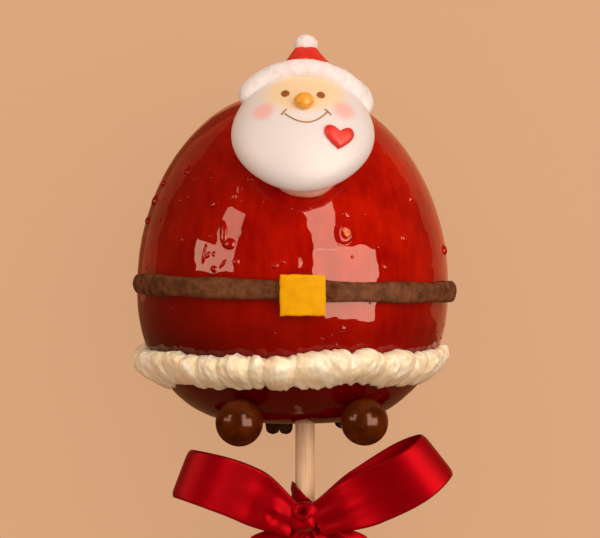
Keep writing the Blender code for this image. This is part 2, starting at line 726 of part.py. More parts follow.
def make_sweet():
    """The collections and the empty that lays the upright sweet on its back."""
    pieces = bpy.data.collections.new("toffee_apple")
    cutters = bpy.data.collections.new("cutters")
    bpy.context.scene.collection.children.link(pieces)
    bpy.context.scene.collection.children.link(cutters)
    empty = bpy.data.objects.new("laid_on_its_back", None)
    pieces.objects.link(empty)
    empty.rotation_euler = (-math.pi / 2, 0.0, 0.0)
    empty.location = (-APPLE_SHIFT, 0.0, APPLE_FLAT)
    return {"pieces": pieces, "cutters": cutters, "empty": empty}


def main():
    for old in list(bpy.data.objects):
        bpy.data.objects.remove(old)
    materials = {
        "toffee": make_material("red_toffee", (0.40, 0.006, 0.002), 0.08),
        "wood": make_material("birch_wood", (0.78, 0.55, 0.33), 0.6),
        "calyx": make_material("dry_calyx", (0.02, 0.008, 0.004), 0.8),
        "chocolate": make_material("milk_chocolate", (0.13, 0.055, 0.025), 0.5),
        "ball": make_material("polished_chocolate", (0.16, 0.055, 0.014), 0.15),
        "yellow": make_material("yellow_sweet", (0.87, 0.40, 0.01), 0.45),
        "cream": make_material("piped_cream", (0.90, 0.72, 0.50), 0.55),
        "white": make_material("white_sugar_paste", (0.93, 0.86, 0.79), 0.45),
        "fur": make_material("sugar_fur", (0.94, 0.88, 0.82), 0.8),
        "red": make_material("red_sugar", (0.78, 0.045, 0.02), 0.5),
        "nose": make_material("orange_sugar", (0.93, 0.48, 0.06), 0.4),
        "icing": make_material("icing", (0.72, 0.50, 0.40), 0.5),
        "satin": make_material("red_satin", (0.42, 0.004, 0.01), 0.35),
    }
    sweet = make_sweet()
    sweet["floor"] = floor_cutter(sweet)
    sweet["apple_grown"] = as_cutter(apple_body(sweet, GAP, "apple_grown"), sweet)
    apple = apple_body(sweet, material=materials["toffee"])
    stick_hole = stick(sweet, materials["wood"])
    cut_by(apple, stick_hole, sweet["floor"])
    calyx(sweet, materials["calyx"])
    belt(sweet, materials["chocolate"])
    buckle(sweet, materials["yellow"])
    trim(sweet, materials["cream"])
    feet(sweet, materials["ball"])
    head(sweet, materials)
    knot(sweet, materials["satin"])
    for side in LOOPS:
        bow_loop(side, sweet, materials["satin"])
        ribbon_tail(side, sweet, materials["satin"])


main()
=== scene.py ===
"""Looks of a toffee apple dressed as Father Christmas, on a wooden stick tied with a satin bow.

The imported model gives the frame: every piece here is modelled where its CAD node lies, in metres, with
+Y along the stick towards the apple's crown and +Z up out of the decorated front.
"""

import logging
import math
from dataclasses import dataclass
from enum import Enum
from typing import Callable, Iterable, Sequence

import bmesh
import bpy
from mathutils import Matrix, Vector, noise


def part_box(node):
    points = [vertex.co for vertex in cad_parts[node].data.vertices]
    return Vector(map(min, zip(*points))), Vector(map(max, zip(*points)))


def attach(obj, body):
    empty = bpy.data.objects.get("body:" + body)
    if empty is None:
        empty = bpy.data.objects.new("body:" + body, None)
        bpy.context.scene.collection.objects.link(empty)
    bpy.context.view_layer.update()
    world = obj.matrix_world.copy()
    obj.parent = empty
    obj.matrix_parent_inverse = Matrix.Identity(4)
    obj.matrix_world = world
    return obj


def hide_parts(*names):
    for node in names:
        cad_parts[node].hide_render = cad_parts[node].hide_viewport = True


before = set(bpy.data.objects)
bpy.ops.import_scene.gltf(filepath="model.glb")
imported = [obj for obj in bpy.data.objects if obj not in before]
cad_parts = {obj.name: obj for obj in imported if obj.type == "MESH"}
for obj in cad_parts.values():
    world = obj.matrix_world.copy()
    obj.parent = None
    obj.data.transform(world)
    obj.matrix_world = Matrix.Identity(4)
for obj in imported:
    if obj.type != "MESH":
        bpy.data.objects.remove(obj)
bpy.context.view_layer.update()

MM = 0.001
BODY = "root"
LOG = logging.getLogger("toffee_apple")
Colour = tuple[float, float, float, float]
Grid = list[list[Vector]]


# ---------------------------------------------------------------- small helpers


def linear(code: str, alpha: float = 1.0) -> Colour:
    """Turns an sRGB hex colour to the linear values that shaders take.

    Args:
        code: the colour, such as "#c01804".
        alpha: its opacity.

    Returns:
        Linear red, green, blue and alpha.
    """
    parts = [int(code[i : i + 2], 16) / 255.0 for i in (1, 3, 5)]
    values = [c / 12.92 if c <= 0.04045 else ((c + 0.055) / 1.055) ** 2.4 for c in parts]
    return (values[0], values[1], values[2], alpha)


def smooth_step(value: float) -> float:
    """0 below 0, 1 above 1, and a smooth rise between."""
    value = min(1.0, max(0.0, value))
    return value * value * (3.0 - 2.0 * value)


def ripple(place: Vector, size: float, seed: float = 0.0) -> float:
    """Smooth noise between about -1 and 1.

    Args:
        place: where it is read, in metres.
        size: how far apart its rises are, in metres.
        seed: another number gives another pattern.

    Returns:
        The noise at that place.
    """
    return noise.noise(place / size + Vector((seed, -0.7 * seed, 1.3 * seed)))


def folds(place: Vector, size: float, octaves: int = 3, seed: float = 0.0) -> float:
    """Noise with finer noise on it, between about -1 and 1."""
    return noise.fractal(place / size + Vector((seed, seed * 0.3, -seed)), 0.9, 2.1, octaves)


def add_node(
    tree: bpy.types.NodeTree,
    kind: str,
    settings: dict[str | int, object] | None = None,
    links: dict[str | int, bpy.types.NodeSocket] | None = None,
    **attributes: object,
) -> bpy.types.Node:
    """Adds a node with its settings and links.

    Args:
        tree: the node tree.
        kind: the node's type name.
        settings: values of its inputs, by name or number.
        links: sockets that feed its inputs, by name or number.
        **attributes: the node's own properties, such as operation.

    Returns:
        The node.
    """
    node = tree.nodes.new(kind)
    for name, value in attributes.items():
        setattr(node, name, value)
    for key, value in (settings or {}).items():
        node.inputs[key].default_value = value
    for key, socket in (links or {}).items():
        tree.links.new(socket, node.inputs[key])
    return node


def grid_mesh(
    name: str,
    rows: Grid,
    around: bool = False,
    closed: bool = False,
    capped: bool = False,
    uv: Callable[[int, int], tuple[float, float]] | None = None,
) -> bpy.types.Mesh:
    """A mesh through rows of points, with its faces outwards.

    Args:
        name: the mesh's name.
        rows: rows of points, all as long as each other.
        around: whether each row closes on itself.
        closed: whether the last row joins the first.
        capped: whether the first and last rows are filled.
        uv: the texture place of a row and column, if the piece needs one.

    Returns:
        The mesh, shaded smooth.
    """
    bm = bmesh.new()
    made = [[bm.verts.new(point) for point in row] for row in rows]
    layer = bm.loops.layers.uv.new("cloth") if uv else None
    wide = len(rows[0])
    for i in range(len(rows) if closed else len(rows) - 1):
        following = (i + 1) % len(rows)
        for j in range(wide if around else wide - 1):
            beside = (j + 1) % wide
            corners = ((i, j), (i, j + 1), (i + 1, j + 1), (i + 1, j))
            face = bm.faces.new((made[i][j], made[i][beside], made[following][beside], made[following][j]))
            if layer:
                for loop, (row, column) in zip(face.loops, corners):
                    loop[layer].uv = uv(row, column)
    if capped:
        bm.faces.new(made[0])
        bm.faces.new(made[-1])
    bmesh.ops.remove_doubles(bm, verts=bm.verts, dist=0.001 * MM)
    bmesh.ops.recalc_face_normals(bm, faces=bm.faces)
    mesh = bpy.data.meshes.new(name)
    bm.to_mesh(mesh)
    bm.free()
    mesh.shade_smooth()
    return mesh


def dress(
    piece: bpy.types.Object,
    material: bpy.types.Material,
    nodes: Iterable[str] = (),
) -> bpy.types.Object:
    """Gives a piece its finish, its body and the CAD nodes that it stands for.

    Args:
        piece: the finished piece, at the origin.
        material: its material.
        nodes: the CAD nodes that it replaces.

    Returns:
        The piece.
    """
    piece.data.materials.clear()
    piece.data.materials.append(material)
    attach(piece, BODY)
    if nodes:
        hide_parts(*nodes)
    LOG.info("made %s (%d faces)", piece.name, len(piece.data.polygons))
    return piece


def as_object(name: str, mesh: bpy.types.Mesh) -> bpy.types.Object:
    """Puts a mesh into the scene."""
    piece = bpy.data.objects.new(name, mesh)
    bpy.context.scene.collection.objects.link(piece)
    return piece


def baked(piece: bpy.types.Object) -> bpy.types.Object:
    """Makes a piece's modifiers part of its mesh."""
    graph = bpy.context.evaluated_depsgraph_get()
    mesh = bpy.data.meshes.new_from_object(piece.evaluated_get(graph))
    piece.modifiers.clear()
    piece.data = mesh
    return piece


def centre_of(node: str) -> Vector:
    """The middle of a CAD node's box."""
    low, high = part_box(node)
    return (low + high) / 2


# ---------------------------------------------------------------- finishes


@dataclass(frozen=True)
class Finish:
    """A material with one Principled shader, to which each kind of finish adds its own pattern."""

    name: str

    def start(self, **settings: object) -> tuple[bpy.types.Material, bpy.types.NodeTree, bpy.types.Node]:
        """Makes the material.

        Args:
            **settings: the shader's constant inputs, with _ for a space.

        Returns:
            The material, its node tree and its shader.
        """
        material = bpy.data.materials.new(self.name)
        material.use_nodes = True
        tree = material.node_tree
        shader = tree.nodes["Principled BSDF"]
        for key, value in settings.items():
            shader.inputs[key.replace("_", " ")].default_value = value
        return material, tree, shader

    def build(self) -> bpy.types.Material:
        """Makes the material with its pattern."""
        raise NotImplementedError


@dataclass(frozen=True)
class ToffeeGlaze(Finish):
    """Boiled sugar, dyed red and set like glass over the apple's skin."""

    name: str = "red_toffee"
    bright: str = "#c21300"
    deep: str = "#9e0200"
    # the colour of the painted shade towards the base and the left side
    painted_shade: str = "#560000"
    clouds: float = 12 * MM
    streaks: float = 2.2 * MM
    ripples: float = 4.4 * MM

    def build(self) -> bpy.types.Material:
        """Makes a deep clear red with painted shade, darker towards the base and the left side, under a hard gloss."""
        material, tree, shader = self.start(
            Roughness=0.5,
            Specular_IOR_Level=0.0,
            Coat_Weight=1.0,
            Coat_Roughness=0.015,
            Coat_IOR=1.38,
        )
        place = add_node(tree, "ShaderNodeTexCoord").outputs["Object"]
        clouds = add_node(
            tree, "ShaderNodeTexNoise", {"Scale": 1 / self.clouds, "Detail": 3.0, "Roughness": 0.55}, {"Vector": place}
        )
        # the apple's own skin shows through as faint streaks from crown to base
        stretched = add_node(tree, "ShaderNodeMapping", {"Scale": (1.0, 0.16, 1.0)}, {"Vector": place})
        streaks = add_node(
            tree,
            "ShaderNodeTexNoise",
            {"Scale": 1 / self.streaks, "Detail": 4.0, "Roughness": 0.6},
            {"Vector": stretched.outputs[0]},
        )
        blend = add_node(
            tree,
            "ShaderNodeMath",
            {1: 0.75},
            {0: streaks.outputs["Fac"], 2: clouds.outputs["Fac"]},
            operation="MULTIPLY_ADD",
        )
        ramp = add_node(
            tree, "ShaderNodeMapRange", {"From Min": 0.66, "From Max": 1.08}, {"Value": blend.outputs[0]}
        )
        reds = add_node(
            tree,
            "ShaderNodeMix",
            {"A": linear(self.deep), "B": linear(self.bright)},
            {"Factor": ramp.outputs[0]},
            data_type="RGBA",
        )
        level = add_node(tree, "ShaderNodeSeparateXYZ", links={"Vector": place})
        # painted shade: darker towards the base, under the cream ring
        low = add_node(
            tree,
            "ShaderNodeMapRange",
            {"From Min": 9 * MM, "From Max": -34 * MM},
            {"Value": level.outputs["Y"]},
            interpolation_type="SMOOTHSTEP",
        )
        # painted shade: darker towards the left side, which the lights reach less
        side = add_node(
            tree,
            "ShaderNodeMapRange",
            {"From Min": 14 * MM, "From Max": -40 * MM, "To Max": 0.5},
            {"Value": level.outputs["X"]},
            interpolation_type="SMOOTHSTEP",
        )
        depth = add_node(tree, "ShaderNodeMath", links={0: low.outputs[0], 1: side.outputs[0]}, operation="ADD")
        depth.use_clamp = True
        # the painted shade is mixed into the toffee's red here
        colour = add_node(
            tree,
            "ShaderNodeMix",
            {"B": linear(self.painted_shade)},
            {"Factor": depth.outputs[0], "A": reds.outputs["Result"]},
            data_type="RGBA",
        )
        waves = add_node(
            tree, "ShaderNodeTexNoise", {"Scale": 1 / self.ripples, "Detail": 0.6}, {"Vector": place}
        )
        bump = add_node(
            tree, "ShaderNodeBump", {"Distance": 0.15 * MM}, {"Height": waves.outputs["Fac"]}
        )
        tree.links.new(colour.outputs["Result"], shader.inputs["Base Color"])
        tree.links.new(bump.outputs["Normal"], shader.inputs["Coat Normal"])
        return material


@dataclass(frozen=True)
class Grained(Finish):
    """A food surface with cloudy colour and a fine relief, such as chocolate, cream or sugar paste."""

    name: str = "grained"
    light: str = "#ffffff"
    dark: str = "#dddddd"
    clouds: float = 4 * MM
    grain: float = 0.5 * MM
    relief: float = 0.05 * MM
    roughness: float = 0.5
    coat: float = 0.0
    coat_roughness: float = 0.1
    translucency: float = 0.0
    scatter: float = 1.0 * MM
    scatter_colour: tuple[float, float, float] = (1.0, 0.6, 0.4)
    sheen: float = 0.0
    specular: float = 0.4

    def build(self) -> bpy.types.Material:
        """Makes the clouded colour with its grain in relief."""
        material, tree, shader = self.start(
            Roughness=self.roughness,
            Coat_Weight=self.coat,
            Coat_Roughness=self.coat_roughness,
            Subsurface_Weight=self.translucency,
            Subsurface_Scale=self.scatter,
            Subsurface_Radius=self.scatter_colour,
            Sheen_Weight=self.sheen,
            Specular_IOR_Level=self.specular,
        )
        place = add_node(tree, "ShaderNodeTexCoord").outputs["Object"]
        self.paint(tree, shader, place)
        grain = add_node(
            tree, "ShaderNodeTexNoise", {"Scale": 1 / self.grain, "Detail": 4.0, "Roughness": 0.6}, {"Vector": place}
        )
        bump = add_node(
            tree, "ShaderNodeBump", {"Distance": self.relief}, {"Height": grain.outputs["Fac"]}
        )
        tree.links.new(bump.outputs["Normal"], shader.inputs["Normal"])
        return material

    def paint(self, tree: bpy.types.NodeTree, shader: bpy.types.Node, place: bpy.types.NodeSocket) -> None:
        """Mixes the light and dark colours in soft clouds."""
        clouds = add_node(
            tree, "ShaderNodeTexNoise", {"Scale": 1 / self.clouds, "Detail": 4.0, "Roughness": 0.55}, {"Vector": place}
        )
        ramp = add_node(
            tree, "ShaderNodeMapRange", {"From Min": 0.35, "From Max": 0.65}, {"Value": clouds.outputs["Fac"]}
        )
        colour = add_node(
            tree,
            "ShaderNodeMix",
            {"A": linear(self.dark), "B": linear(self.light)},
            {"Factor": ramp.outputs[0]},
            data_type="RGBA",
        )
        tree.links.new(colour.outputs["Result"], shader.inputs["Base Color"])


@dataclass(frozen=True)
class PaintedPaste(Grained):
    """White sugar paste with a peach face and pink cheeks dusted on with dry colour."""

    skin: str = "#fddcae"
    blush: str = "#fbb3a4"
    cheeks: tuple[tuple[float, float, float], ...] = ((-9.6, 1.3, 2.4), (10.0, 1.7, 2.5))

    def spot(
        self, tree: bpy.types.NodeTree, flat: bpy.types.NodeSocket, spot: tuple[float, float, float, float], edge: float
    ) -> bpy.types.NodeSocket:
        """A soft oval mask on the face.

        Args:
            tree: the node tree.
            flat: places on the face, in millimetres across and up.
            spot: the oval's middle (across, up) and its two half sizes.
            edge: how far in its edge fades, as a share.

        Returns:
            The mask: 1 inside and 0 outside.
        """
        across, up, wide, high = spot
        moved = add_node(
            tree, "ShaderNodeVectorMath", {1: (across, up, 0.0)}, {0: flat}, operation="SUBTRACT"
        )
        sized = add_node(
            tree, "ShaderNodeVectorMath", {1: (wide, high, 1.0)}, {0: moved.outputs[0]}, operation="DIVIDE"
        )
        far = add_node(tree, "ShaderNodeVectorMath", links={0: sized.outputs[0]}, operation="LENGTH")
        return add_node(
            tree,
            "ShaderNodeMapRange",
            {"From Min": 1.0 + edge, "From Max": 1.0 - edge},
            {"Value": far.outputs["Value"]},
            interpolation_type="SMOOTHSTEP",
        ).outputs[0]

    def paint(self, tree: bpy.types.NodeTree, shader: bpy.types.Node, place: bpy.types.NodeSocket) -> None:
        """Dusts the face and the cheeks on the white."""
        flat = add_node(tree, "ShaderNodeUVMap", uv_map="cloth").outputs["UV"]
        white = add_node(
            tree,
            "ShaderNodeMix",
            {"Factor": 0.5, "A": linear(self.light), "B": linear(self.dark)},
            data_type="RGBA",
        )
        face = self.spot(tree, flat, (0.3, 6.8, 9.6, 6.2), 0.3)
        skinned = add_node(
            tree,
            "ShaderNodeMix",
            {"B": linear(self.skin)},
            {"Factor": face, "A": white.outputs["Result"]},
            data_type="RGBA",
        )
        colour = skinned.outputs["Result"]
        for across, up, size in self.cheeks:
            mask = self.spot(tree, flat, (across, up, size, size), 0.5)
            soft = add_node(tree, "ShaderNodeMath", {1: 0.72}, {0: mask}, operation="MULTIPLY")
            colour = add_node(
                tree,
                "ShaderNodeMix",
                {"B": linear(self.blush)},
                {"Factor": soft.outputs[0], "A": colour},
                data_type="RGBA",
            ).outputs["Result"]
        tree.links.new(colour, shader.inputs["Base Color"])


@dataclass(frozen=True)
class Birch(Finish):
    """Turned birch, sanded but bare: pale, with fine grain along the stick."""

    name: str = "birch_wood"
    pale: str = "#ffdcb2"
    grain_colour: str = "#eab684"
    grain: float = 0.45 * MM

    def build(self) -> bpy.types.Material:
        """Makes the long grain."""
        material, tree, shader = self.start(Roughness=0.6)
        place = add_node(tree, "ShaderNodeTexCoord").outputs["Object"]
        stretched = add_node(tree, "ShaderNodeMapping", {"Scale": (1.0, 0.03, 1.0)}, {"Vector": place})
        grain = add_node(
            tree,
            "ShaderNodeTexNoise",
            {"Scale": 1 / self.grain, "Detail": 5.0, "Roughness": 0.6},
            {"Vector": stretched.outputs[0]},
        )
        ramp = add_node(
            tree, "ShaderNodeMapRange", {"From Min": 0.42, "From Max": 0.68}, {"Value": grain.outputs["Fac"]}
        )
        colour = add_node(
            tree,
            "ShaderNodeMix",
            {"A": linear(self.pale), "B": linear(self.grain_colour)},
            {"Factor": ramp.outputs[0]},
            data_type="RGBA",
        )
        bump = add_node(
            tree, "ShaderNodeBump", {"Distance": 0.04 * MM}, {"Height": grain.outputs["Fac"]}
        )
        tree.links.new(colour.outputs["Result"], shader.inputs["Base Color"])
        tree.links.new(bump.outputs["Normal"], shader.inputs["Normal"])
        return material


@dataclass(frozen=True)
class Satin(Finish):
    """Polyester satin ribbon: long floats along the ribbon give it a broad, soft, tinted shine."""

    name: str = "red_satin"
    red: str = "#98000a"
    dark: str = "#700006"
    thread: float = 0.24 * MM  # twice a real thread, as that would be too fine to show

    def build(self) -> bpy.types.Material:
        """Makes the thread lines along the ribbon."""
        material, tree, shader = self.start(
            Roughness=0.4,
            Specular_IOR_Level=0.62,
            Specular_Tint=linear("#ff2034"),
        )
        cloth = add_node(tree, "ShaderNodeUVMap", uv_map="cloth").outputs["UV"]
        lines = add_node(
            tree,
            "ShaderNodeMapping",
            {"Scale": (1 / self.thread, 0.06 / self.thread, 1.0)},
            {"Vector": cloth},
        )
        threads = add_node(
            tree, "ShaderNodeTexNoise", {"Scale": 1.0, "Detail": 3.0}, {"Vector": lines.outputs[0]}
        )
        colour = add_node(
            tree,
            "ShaderNodeMix",
            {"A": linear(self.dark), "B": linear(self.red)},
            {"Factor": threads.outputs["Fac"]},
            data_type="RGBA",
        )
        bump = add_node(
            tree, "ShaderNodeBump", {"Distance": 0.02 * MM}, {"Height": threads.outputs["Fac"]}
        )
        tree.links.new(colour.outputs["Result"], shader.inputs["Base Color"])
        tree.links.new(bump.outputs["Normal"], shader.inputs["Normal"])
        return material


class Slot(Enum):
    """The record's material slots, each with the finish that it gets here."""

    TOFFEE = "toffee"
    WOOD = "wood"
    CALYX = "calyx"
    CHOCOLATE = "chocolate"
    BALL = "ball"
    YELLOW = "yellow"
    CREAM = "cream"
    WHITE = "white"
    FUR = "fur"
    RED = "red"
    NOSE = "nose"
    ICING = "icing"
    SATIN = "satin"


# What each finish gives the eye: toffee is clear and hard as glass; the belt is dull, kneaded chocolate with a
# faint bloom; the balls are panned chocolate with a polished shell; cream is matte with a buttery depth; sugar
# paste is smooth and slightly see-through at its edges.
FINISHES: dict[Slot, Finish] = {
    Slot.TOFFEE: ToffeeGlaze(),
    Slot.WOOD: Birch(),
    Slot.CALYX: Grained("dry_calyx", "#4a2010", "#200a04", 1.0 * MM, 0.3 * MM, 0.15 * MM, 0.85, specular=0.1),
    Slot.CHOCOLATE: Grained(
        "kneaded_chocolate", "#7a4726", "#4a260e", 2.6 * MM, 0.45 * MM, 0.12 * MM, 0.7, specular=0.15
    ),
    Slot.BALL: Grained(
        "panned_chocolate", "#5c2200", "#3a1200", 5 * MM, 1.2 * MM, 0.02 * MM, 0.6, 0.42, 0.15, specular=0.0
    ),
    Slot.YELLOW: Grained(
        "yellow_fondant", "#f3b002", "#eba200", 2.5 * MM, 0.4 * MM, 0.05 * MM, 0.6, specular=0.05
    ),
    Slot.CREAM: Grained(
        "piped_cream", "#fff4d8", "#ffe6bc", 5 * MM, 0.8 * MM, 0.1 * MM, 0.55, 0.12, 0.35, 0.35, 1.5 * MM
    ),
    Slot.WHITE: PaintedPaste(
        "white_sugar_paste", "#efe9e6", "#e9dfd9", 6 * MM, 0.8 * MM, 0.01 * MM, 0.5, 0.1, 0.4, 0.35, 2 * MM
    ),
    Slot.FUR: Grained(
        "stippled_sugar", "#f7f2f0", "#f1e5df", 2 * MM, 0.6 * MM, 0.2 * MM, 0.85, 0.0, 0.3, 0.4, 2 * MM, sheen=0.3
    ),
    Slot.RED: Grained(
        "red_sugar_paste", "#f13426", "#dc2416", 2 * MM, 0.5 * MM, 0.05 * MM, 0.5, 0.1, 0.4, 0.2, 1 * MM
    ),
    Slot.NOSE: Grained(
        "orange_sugar_paste", "#fbb43c", "#f0a028", 1.5 * MM, 0.4 * MM, 0.03 * MM, 0.4, 0.2, 0.3, 0.3, 1 * MM
    ),
    Slot.ICING: Grained(
        "stained_icing", "#f0bca6", "#e2a48e", 2 * MM, 0.5 * MM, 0.05 * MM, 0.5, 0.1, 0.4, 0.3, 1 * MM
    ),
    Slot.SATIN: Satin(),
}
AMBER = Grained("amber_syrup", "#e07a1c", "#c85c0c", 2 * MM, 0.8 * MM, 0.01 * MM, 0.4, 0.35, 0.12, specular=0.1)
BROWN_INK = Grained("brown_food_ink", "#a85c24", "#8c4618", 1 * MM, 0.3 * MM, 0.01 * MM, 0.55)
OCHRE_INK = Grained("ochre_food_ink", "#b88434", "#9c6a20", 1 * MM, 0.3 * MM, 0.01 * MM, 0.55)


# ---------------------------------------------------------------- apple and stick


@dataclass
class AppleForm:
    """The apple's outline about its own axis, which lies along Y."""

    radius: float = 40.0 * MM
    rise: float = 51.0 * MM
    drop: float = 37.8 * MM
    crown_fullness: float = 2.0
    base_fullness: float = 2.3
    crown_dimple: tuple[float, float] = (7.5 * MM, 7.0 * MM)
    base_dimple: tuple[float, float] = (9.5 * MM, 8.0 * MM)

    def __post_init__(self) -> None:
        """Reads where the axis lies."""
        low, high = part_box("apple")
        self.axis_x = (low.x + high.x) / 2
        self.axis_z = high.z - self.radius

    def outline(self, turn: float, hollow: float | None = None) -> tuple[float, float]:
        """A place on the outline.

        Args:
            turn: from the crown at pi/2 to the base at -pi/2.
            hollow: the radius of the base's hollow, if it isn't the apple's own.

        Returns:
            Its radius and level.
        """
        crown = turn > 0
        power = 2.0 / (self.crown_fullness if crown else self.base_fullness)
        rise = self.rise if crown else -self.drop
        radius = self.radius * max(0.0, math.cos(turn)) ** power
        size, depth = self.crown_dimple if crown else (hollow or self.base_dimple[0], self.base_dimple[1])
        dimple = math.copysign(depth, rise) * math.exp(-((radius / size) ** 2))
        return radius, rise * abs(math.sin(turn)) ** power - dimple

    def radius_at(self, level: float) -> float:
        """The apple's radius at a level, outside its dimples."""
        share = level / self.rise if level > 0 else -level / self.drop
        fullness = self.crown_fullness if level > 0 else self.base_fullness
        return self.radius * max(0.0, 1.0 - share**fullness) ** (1.0 / fullness)

    def around(self, angle: float, level: float, out: float) -> Vector:
        """A point by angle from the top (to +X), level along Y, and distance out of the surface."""
        radius = self.radius_at(level) + out
        return self.at(angle, radius, level)

    def at(self, angle: float, radius: float, level: float) -> Vector:
        """A point by angle from the top (to +X), radius from the axis and level along Y."""
        return Vector((self.axis_x + radius * math.sin(angle), level, self.axis_z + radius * math.cos(angle)))


@dataclass
class ToffeeApple:
    """The apple under its coat of toffee; Bubbles adds the blisters in the coat."""

    form: AppleForm
    around_steps: int = 400
    rings: int = 190
    swell: float = 0.16 * MM
    wobble: float = 0.035 * MM
    hollow: float = 12.5 * MM  # the coat pooled round the stick, so its hollow is wider than the apple's own

    def relief(self, place: Vector, angle: float, level: float) -> float:
        """How far the coat stands out of the apple's plain form at a place."""
        slow = self.swell * ripple(place, 13 * MM, 3.1)
        quick = self.wobble * ripple(place, 4.5 * MM, 7.7)
        return slow + quick

    def mesh(self) -> bpy.types.Mesh:
        """The coat as rings of points, flat where it rests."""
        rows: Grid = []
        for i in range(self.rings + 1):
            turn = math.pi / 2 - math.pi * i / self.rings
            radius, level = self.form.outline(turn, self.hollow)
            before = self.form.outline(min(math.pi / 2, turn + 0.01), self.hollow)
            after = self.form.outline(max(-math.pi / 2, turn - 0.01), self.hollow)
            along = Vector((after[0] - before[0], after[1] - before[1]))
            normal = Vector((-along.y, along.x)).normalized()
            row = []
            for k in range(self.around_steps):
                angle = 2 * math.pi * k / self.around_steps
                place = self.form.at(angle, radius, level)
                out = self.relief(place, angle, level)
                point = self.form.at(angle, max(0.0, radius + normal.x * out), level + normal.y * out)
                point.z = max(0.0, point.z)
                row.append(point)
            rows.append(row)
        return grid_mesh("apple_coat", rows, around=True, capped=True)

    def build(self, finish: bpy.types.Material) -> None:
        """Makes the coat."""
        dress(as_object("apple_coat", self.mesh()), finish, ["apple"])


@dataclass(frozen=True)
class Blister:
    """A raised bubble in the coat: angle and level of its middle, half sizes, turn and height."""

    angle: float
    level: float
    across: float
    along: float
    turn: float = 0.0
    height: float = 0.6


@dataclass
class Bubbles:
    """Bubbles that set in the toffee: large ones where they gathered, and a scatter of beads."""

    form: AppleForm
    coat: ToffeeApple
    columns: int = 36
    rings: int = 12
    blisters: tuple[Blister, ...] = (
        Blister(-23.4, 11.3, 1.5, 1.3, 0, 0.75),
        Blister(-26.0, 14.0, 1.0, 2.6, 12, 0.6),
        Blister(-20.3, 6.9, 0.85, 0.85, 0, 0.5),
        Blister(-28.8, 5.1, 0.8, 0.8, 0, 0.5),
        Blister(-31.7, 8.5, 0.55, 0.9, -30, 0.35),
        Blister(-29.2, 8.8, 0.45, 0.65, 0, 0.35),
        Blister(-33.2, 8.8, 0.6, 2.1, -8, 0.4),
        Blister(-31.6, 13.2, 0.5, 0.4, 0, 0.3),
        Blister(-25.3, 6.4, 0.45, 1.2, -35, 0.3),
        Blister(21.1, 18.6, 1.15, 1.2, 0, 0.7),
        Blister(21.8, 8.1, 0.35, 0.4, 0, 0.25),
        Blister(32.6, 10.5, 0.5, 0.5, 0, 0.35),
        Blister(35.0, 5.6, 0.8, 0.85, 0, 0.45),
        Blister(45.6, 12.7, 0.85, 0.85, 0, 0.5),
        Blister(55.9, 22.6, 0.95, 0.9, 0, 0.6),
        Blister(-54.1, 29.6, 1.3, 1.1, 0, 0.7),
        Blister(-45.8, 27.3, 0.5, 0.4, 0, 0.3),
        Blister(-22.4, 26.0, 1.1, 1.9, 10, 0.42),
        Blister(-23.8, 23.3, 0.8, 1.1, 0, 0.38),
        Blister(-32.1, 21.3, 1.1, 0.9, 0, 0.4),
        Blister(-6.0, 6.0, 0.75, 0.75, 0, 0.4),
        Blister(-3.2, 6.9, 0.5, 0.5, 0, 0.3),
        Blister(1.7, 6.7, 1.1, 1.4, 0, 0.22),
        Blister(18.5, -9.5, 0.9, 0.7, 0, 0.3),
        Blister(-75.6, 22.1, 1.4, 1.5, 0, 0.8),
        Blister(-73.0, 26.5, 1.3, 1.1, 0, 0.7),
        Blister(-78.0, 17.0, 1.2, 1.0, 0, 0.7),
        Blister(78.8, 9.4, 1.2, 1.3, 0, 0.8),
        Blister(-51.0, 22.1, 0.6, 0.5, 0, 0.35),
        Blister(-44.7, 12.2, 0.7, 0.6, 0, 0.35),
        Blister(28.7, 18.6, 0.5, 0.4, 0, 0.3),
        Blister(-18.0, 27.5, 0.75, 0.75, 0, 0.4),
        Blister(39.8, -2.6, 0.6, 0.5, 0, 0.35),
        Blister(11.0, -12.0, 0.5, 0.45, 0, 0.32),
        Blister(12.6, -13.8, 0.38, 0.38, 0, 0.28),
        Blister(16.5, -13.6, 0.55, 0.65, 0, 0.35),
        Blister(14.4, -11.0, 0.32, 0.32, 0, 0.24),
    )
    amber: Blister = Blister(19.6, 14.0, 2.4, 2.8, 0, 0.85)
    density: float = 26000.0
    seed: int = 11

    def skin(self, angle: float, level: float, out: float) -> Vector:
        """A point at a distance out of the uneven coat."""
        plain = self.form.around(angle, level, 0.0)
        return self.form.around(angle, level, self.coat.relief(plain, angle, level) + out)

    def cap(self, mesh: bmesh.types.BMesh, blister: Blister, hollow: float = 0.0) -> None:
        """Adds one blister with a flared foot.

        Args:
            mesh: where it is added.
            blister: its place and size.
            hollow: how far its middle is sunk, as a share of its height.
        """
        rings = []
        middle = math.radians(blister.angle)
        turn = math.radians(blister.turn)
        for i in range(self.rings + 1):
            reach = 1.25 * (1.0 - i / self.rings)
            dome = math.sqrt(max(0.0, 1.0 - min(1.0, reach) ** 2))
            foot = 0.12 * (1.0 - smooth_step(abs(reach - 1.0) / 0.25)) if reach > 0.8 else 0.0
            sunk = hollow * (1.0 - smooth_step(reach / 0.72))
            out = blister.height * MM * (max(dome, foot) - sunk) - 0.03 * MM * (1.0 if reach > 1.2 else 0.0)
            ring = []
            for k in range(self.columns):
                way = 2 * math.pi * k / self.columns
                wavy = 1.0 + 0.07 * math.sin(2 * way + blister.angle) + 0.04 * math.sin(3 * way + blister.level)
                x, y = blister.across * reach * math.cos(way) * wavy, blister.along * reach * math.sin(way) * wavy
                across = x * math.cos(turn) - y * math.sin(turn)
                along = x * math.sin(turn) + y * math.cos(turn)
                level = blister.level * MM + along * MM
                ring.append(mesh.verts.new(self.skin(middle + across * MM / self.form.radius_at(level), level, out)))
            rings.append(ring)
        for lower, upper in zip(rings, rings[1:]):
            for k in range(self.columns):
                beside = (k + 1) % self.columns
                mesh.faces.new((lower[k], lower[beside], upper[beside], upper[k]))
        mesh.faces.new(list(reversed(rings[0])))

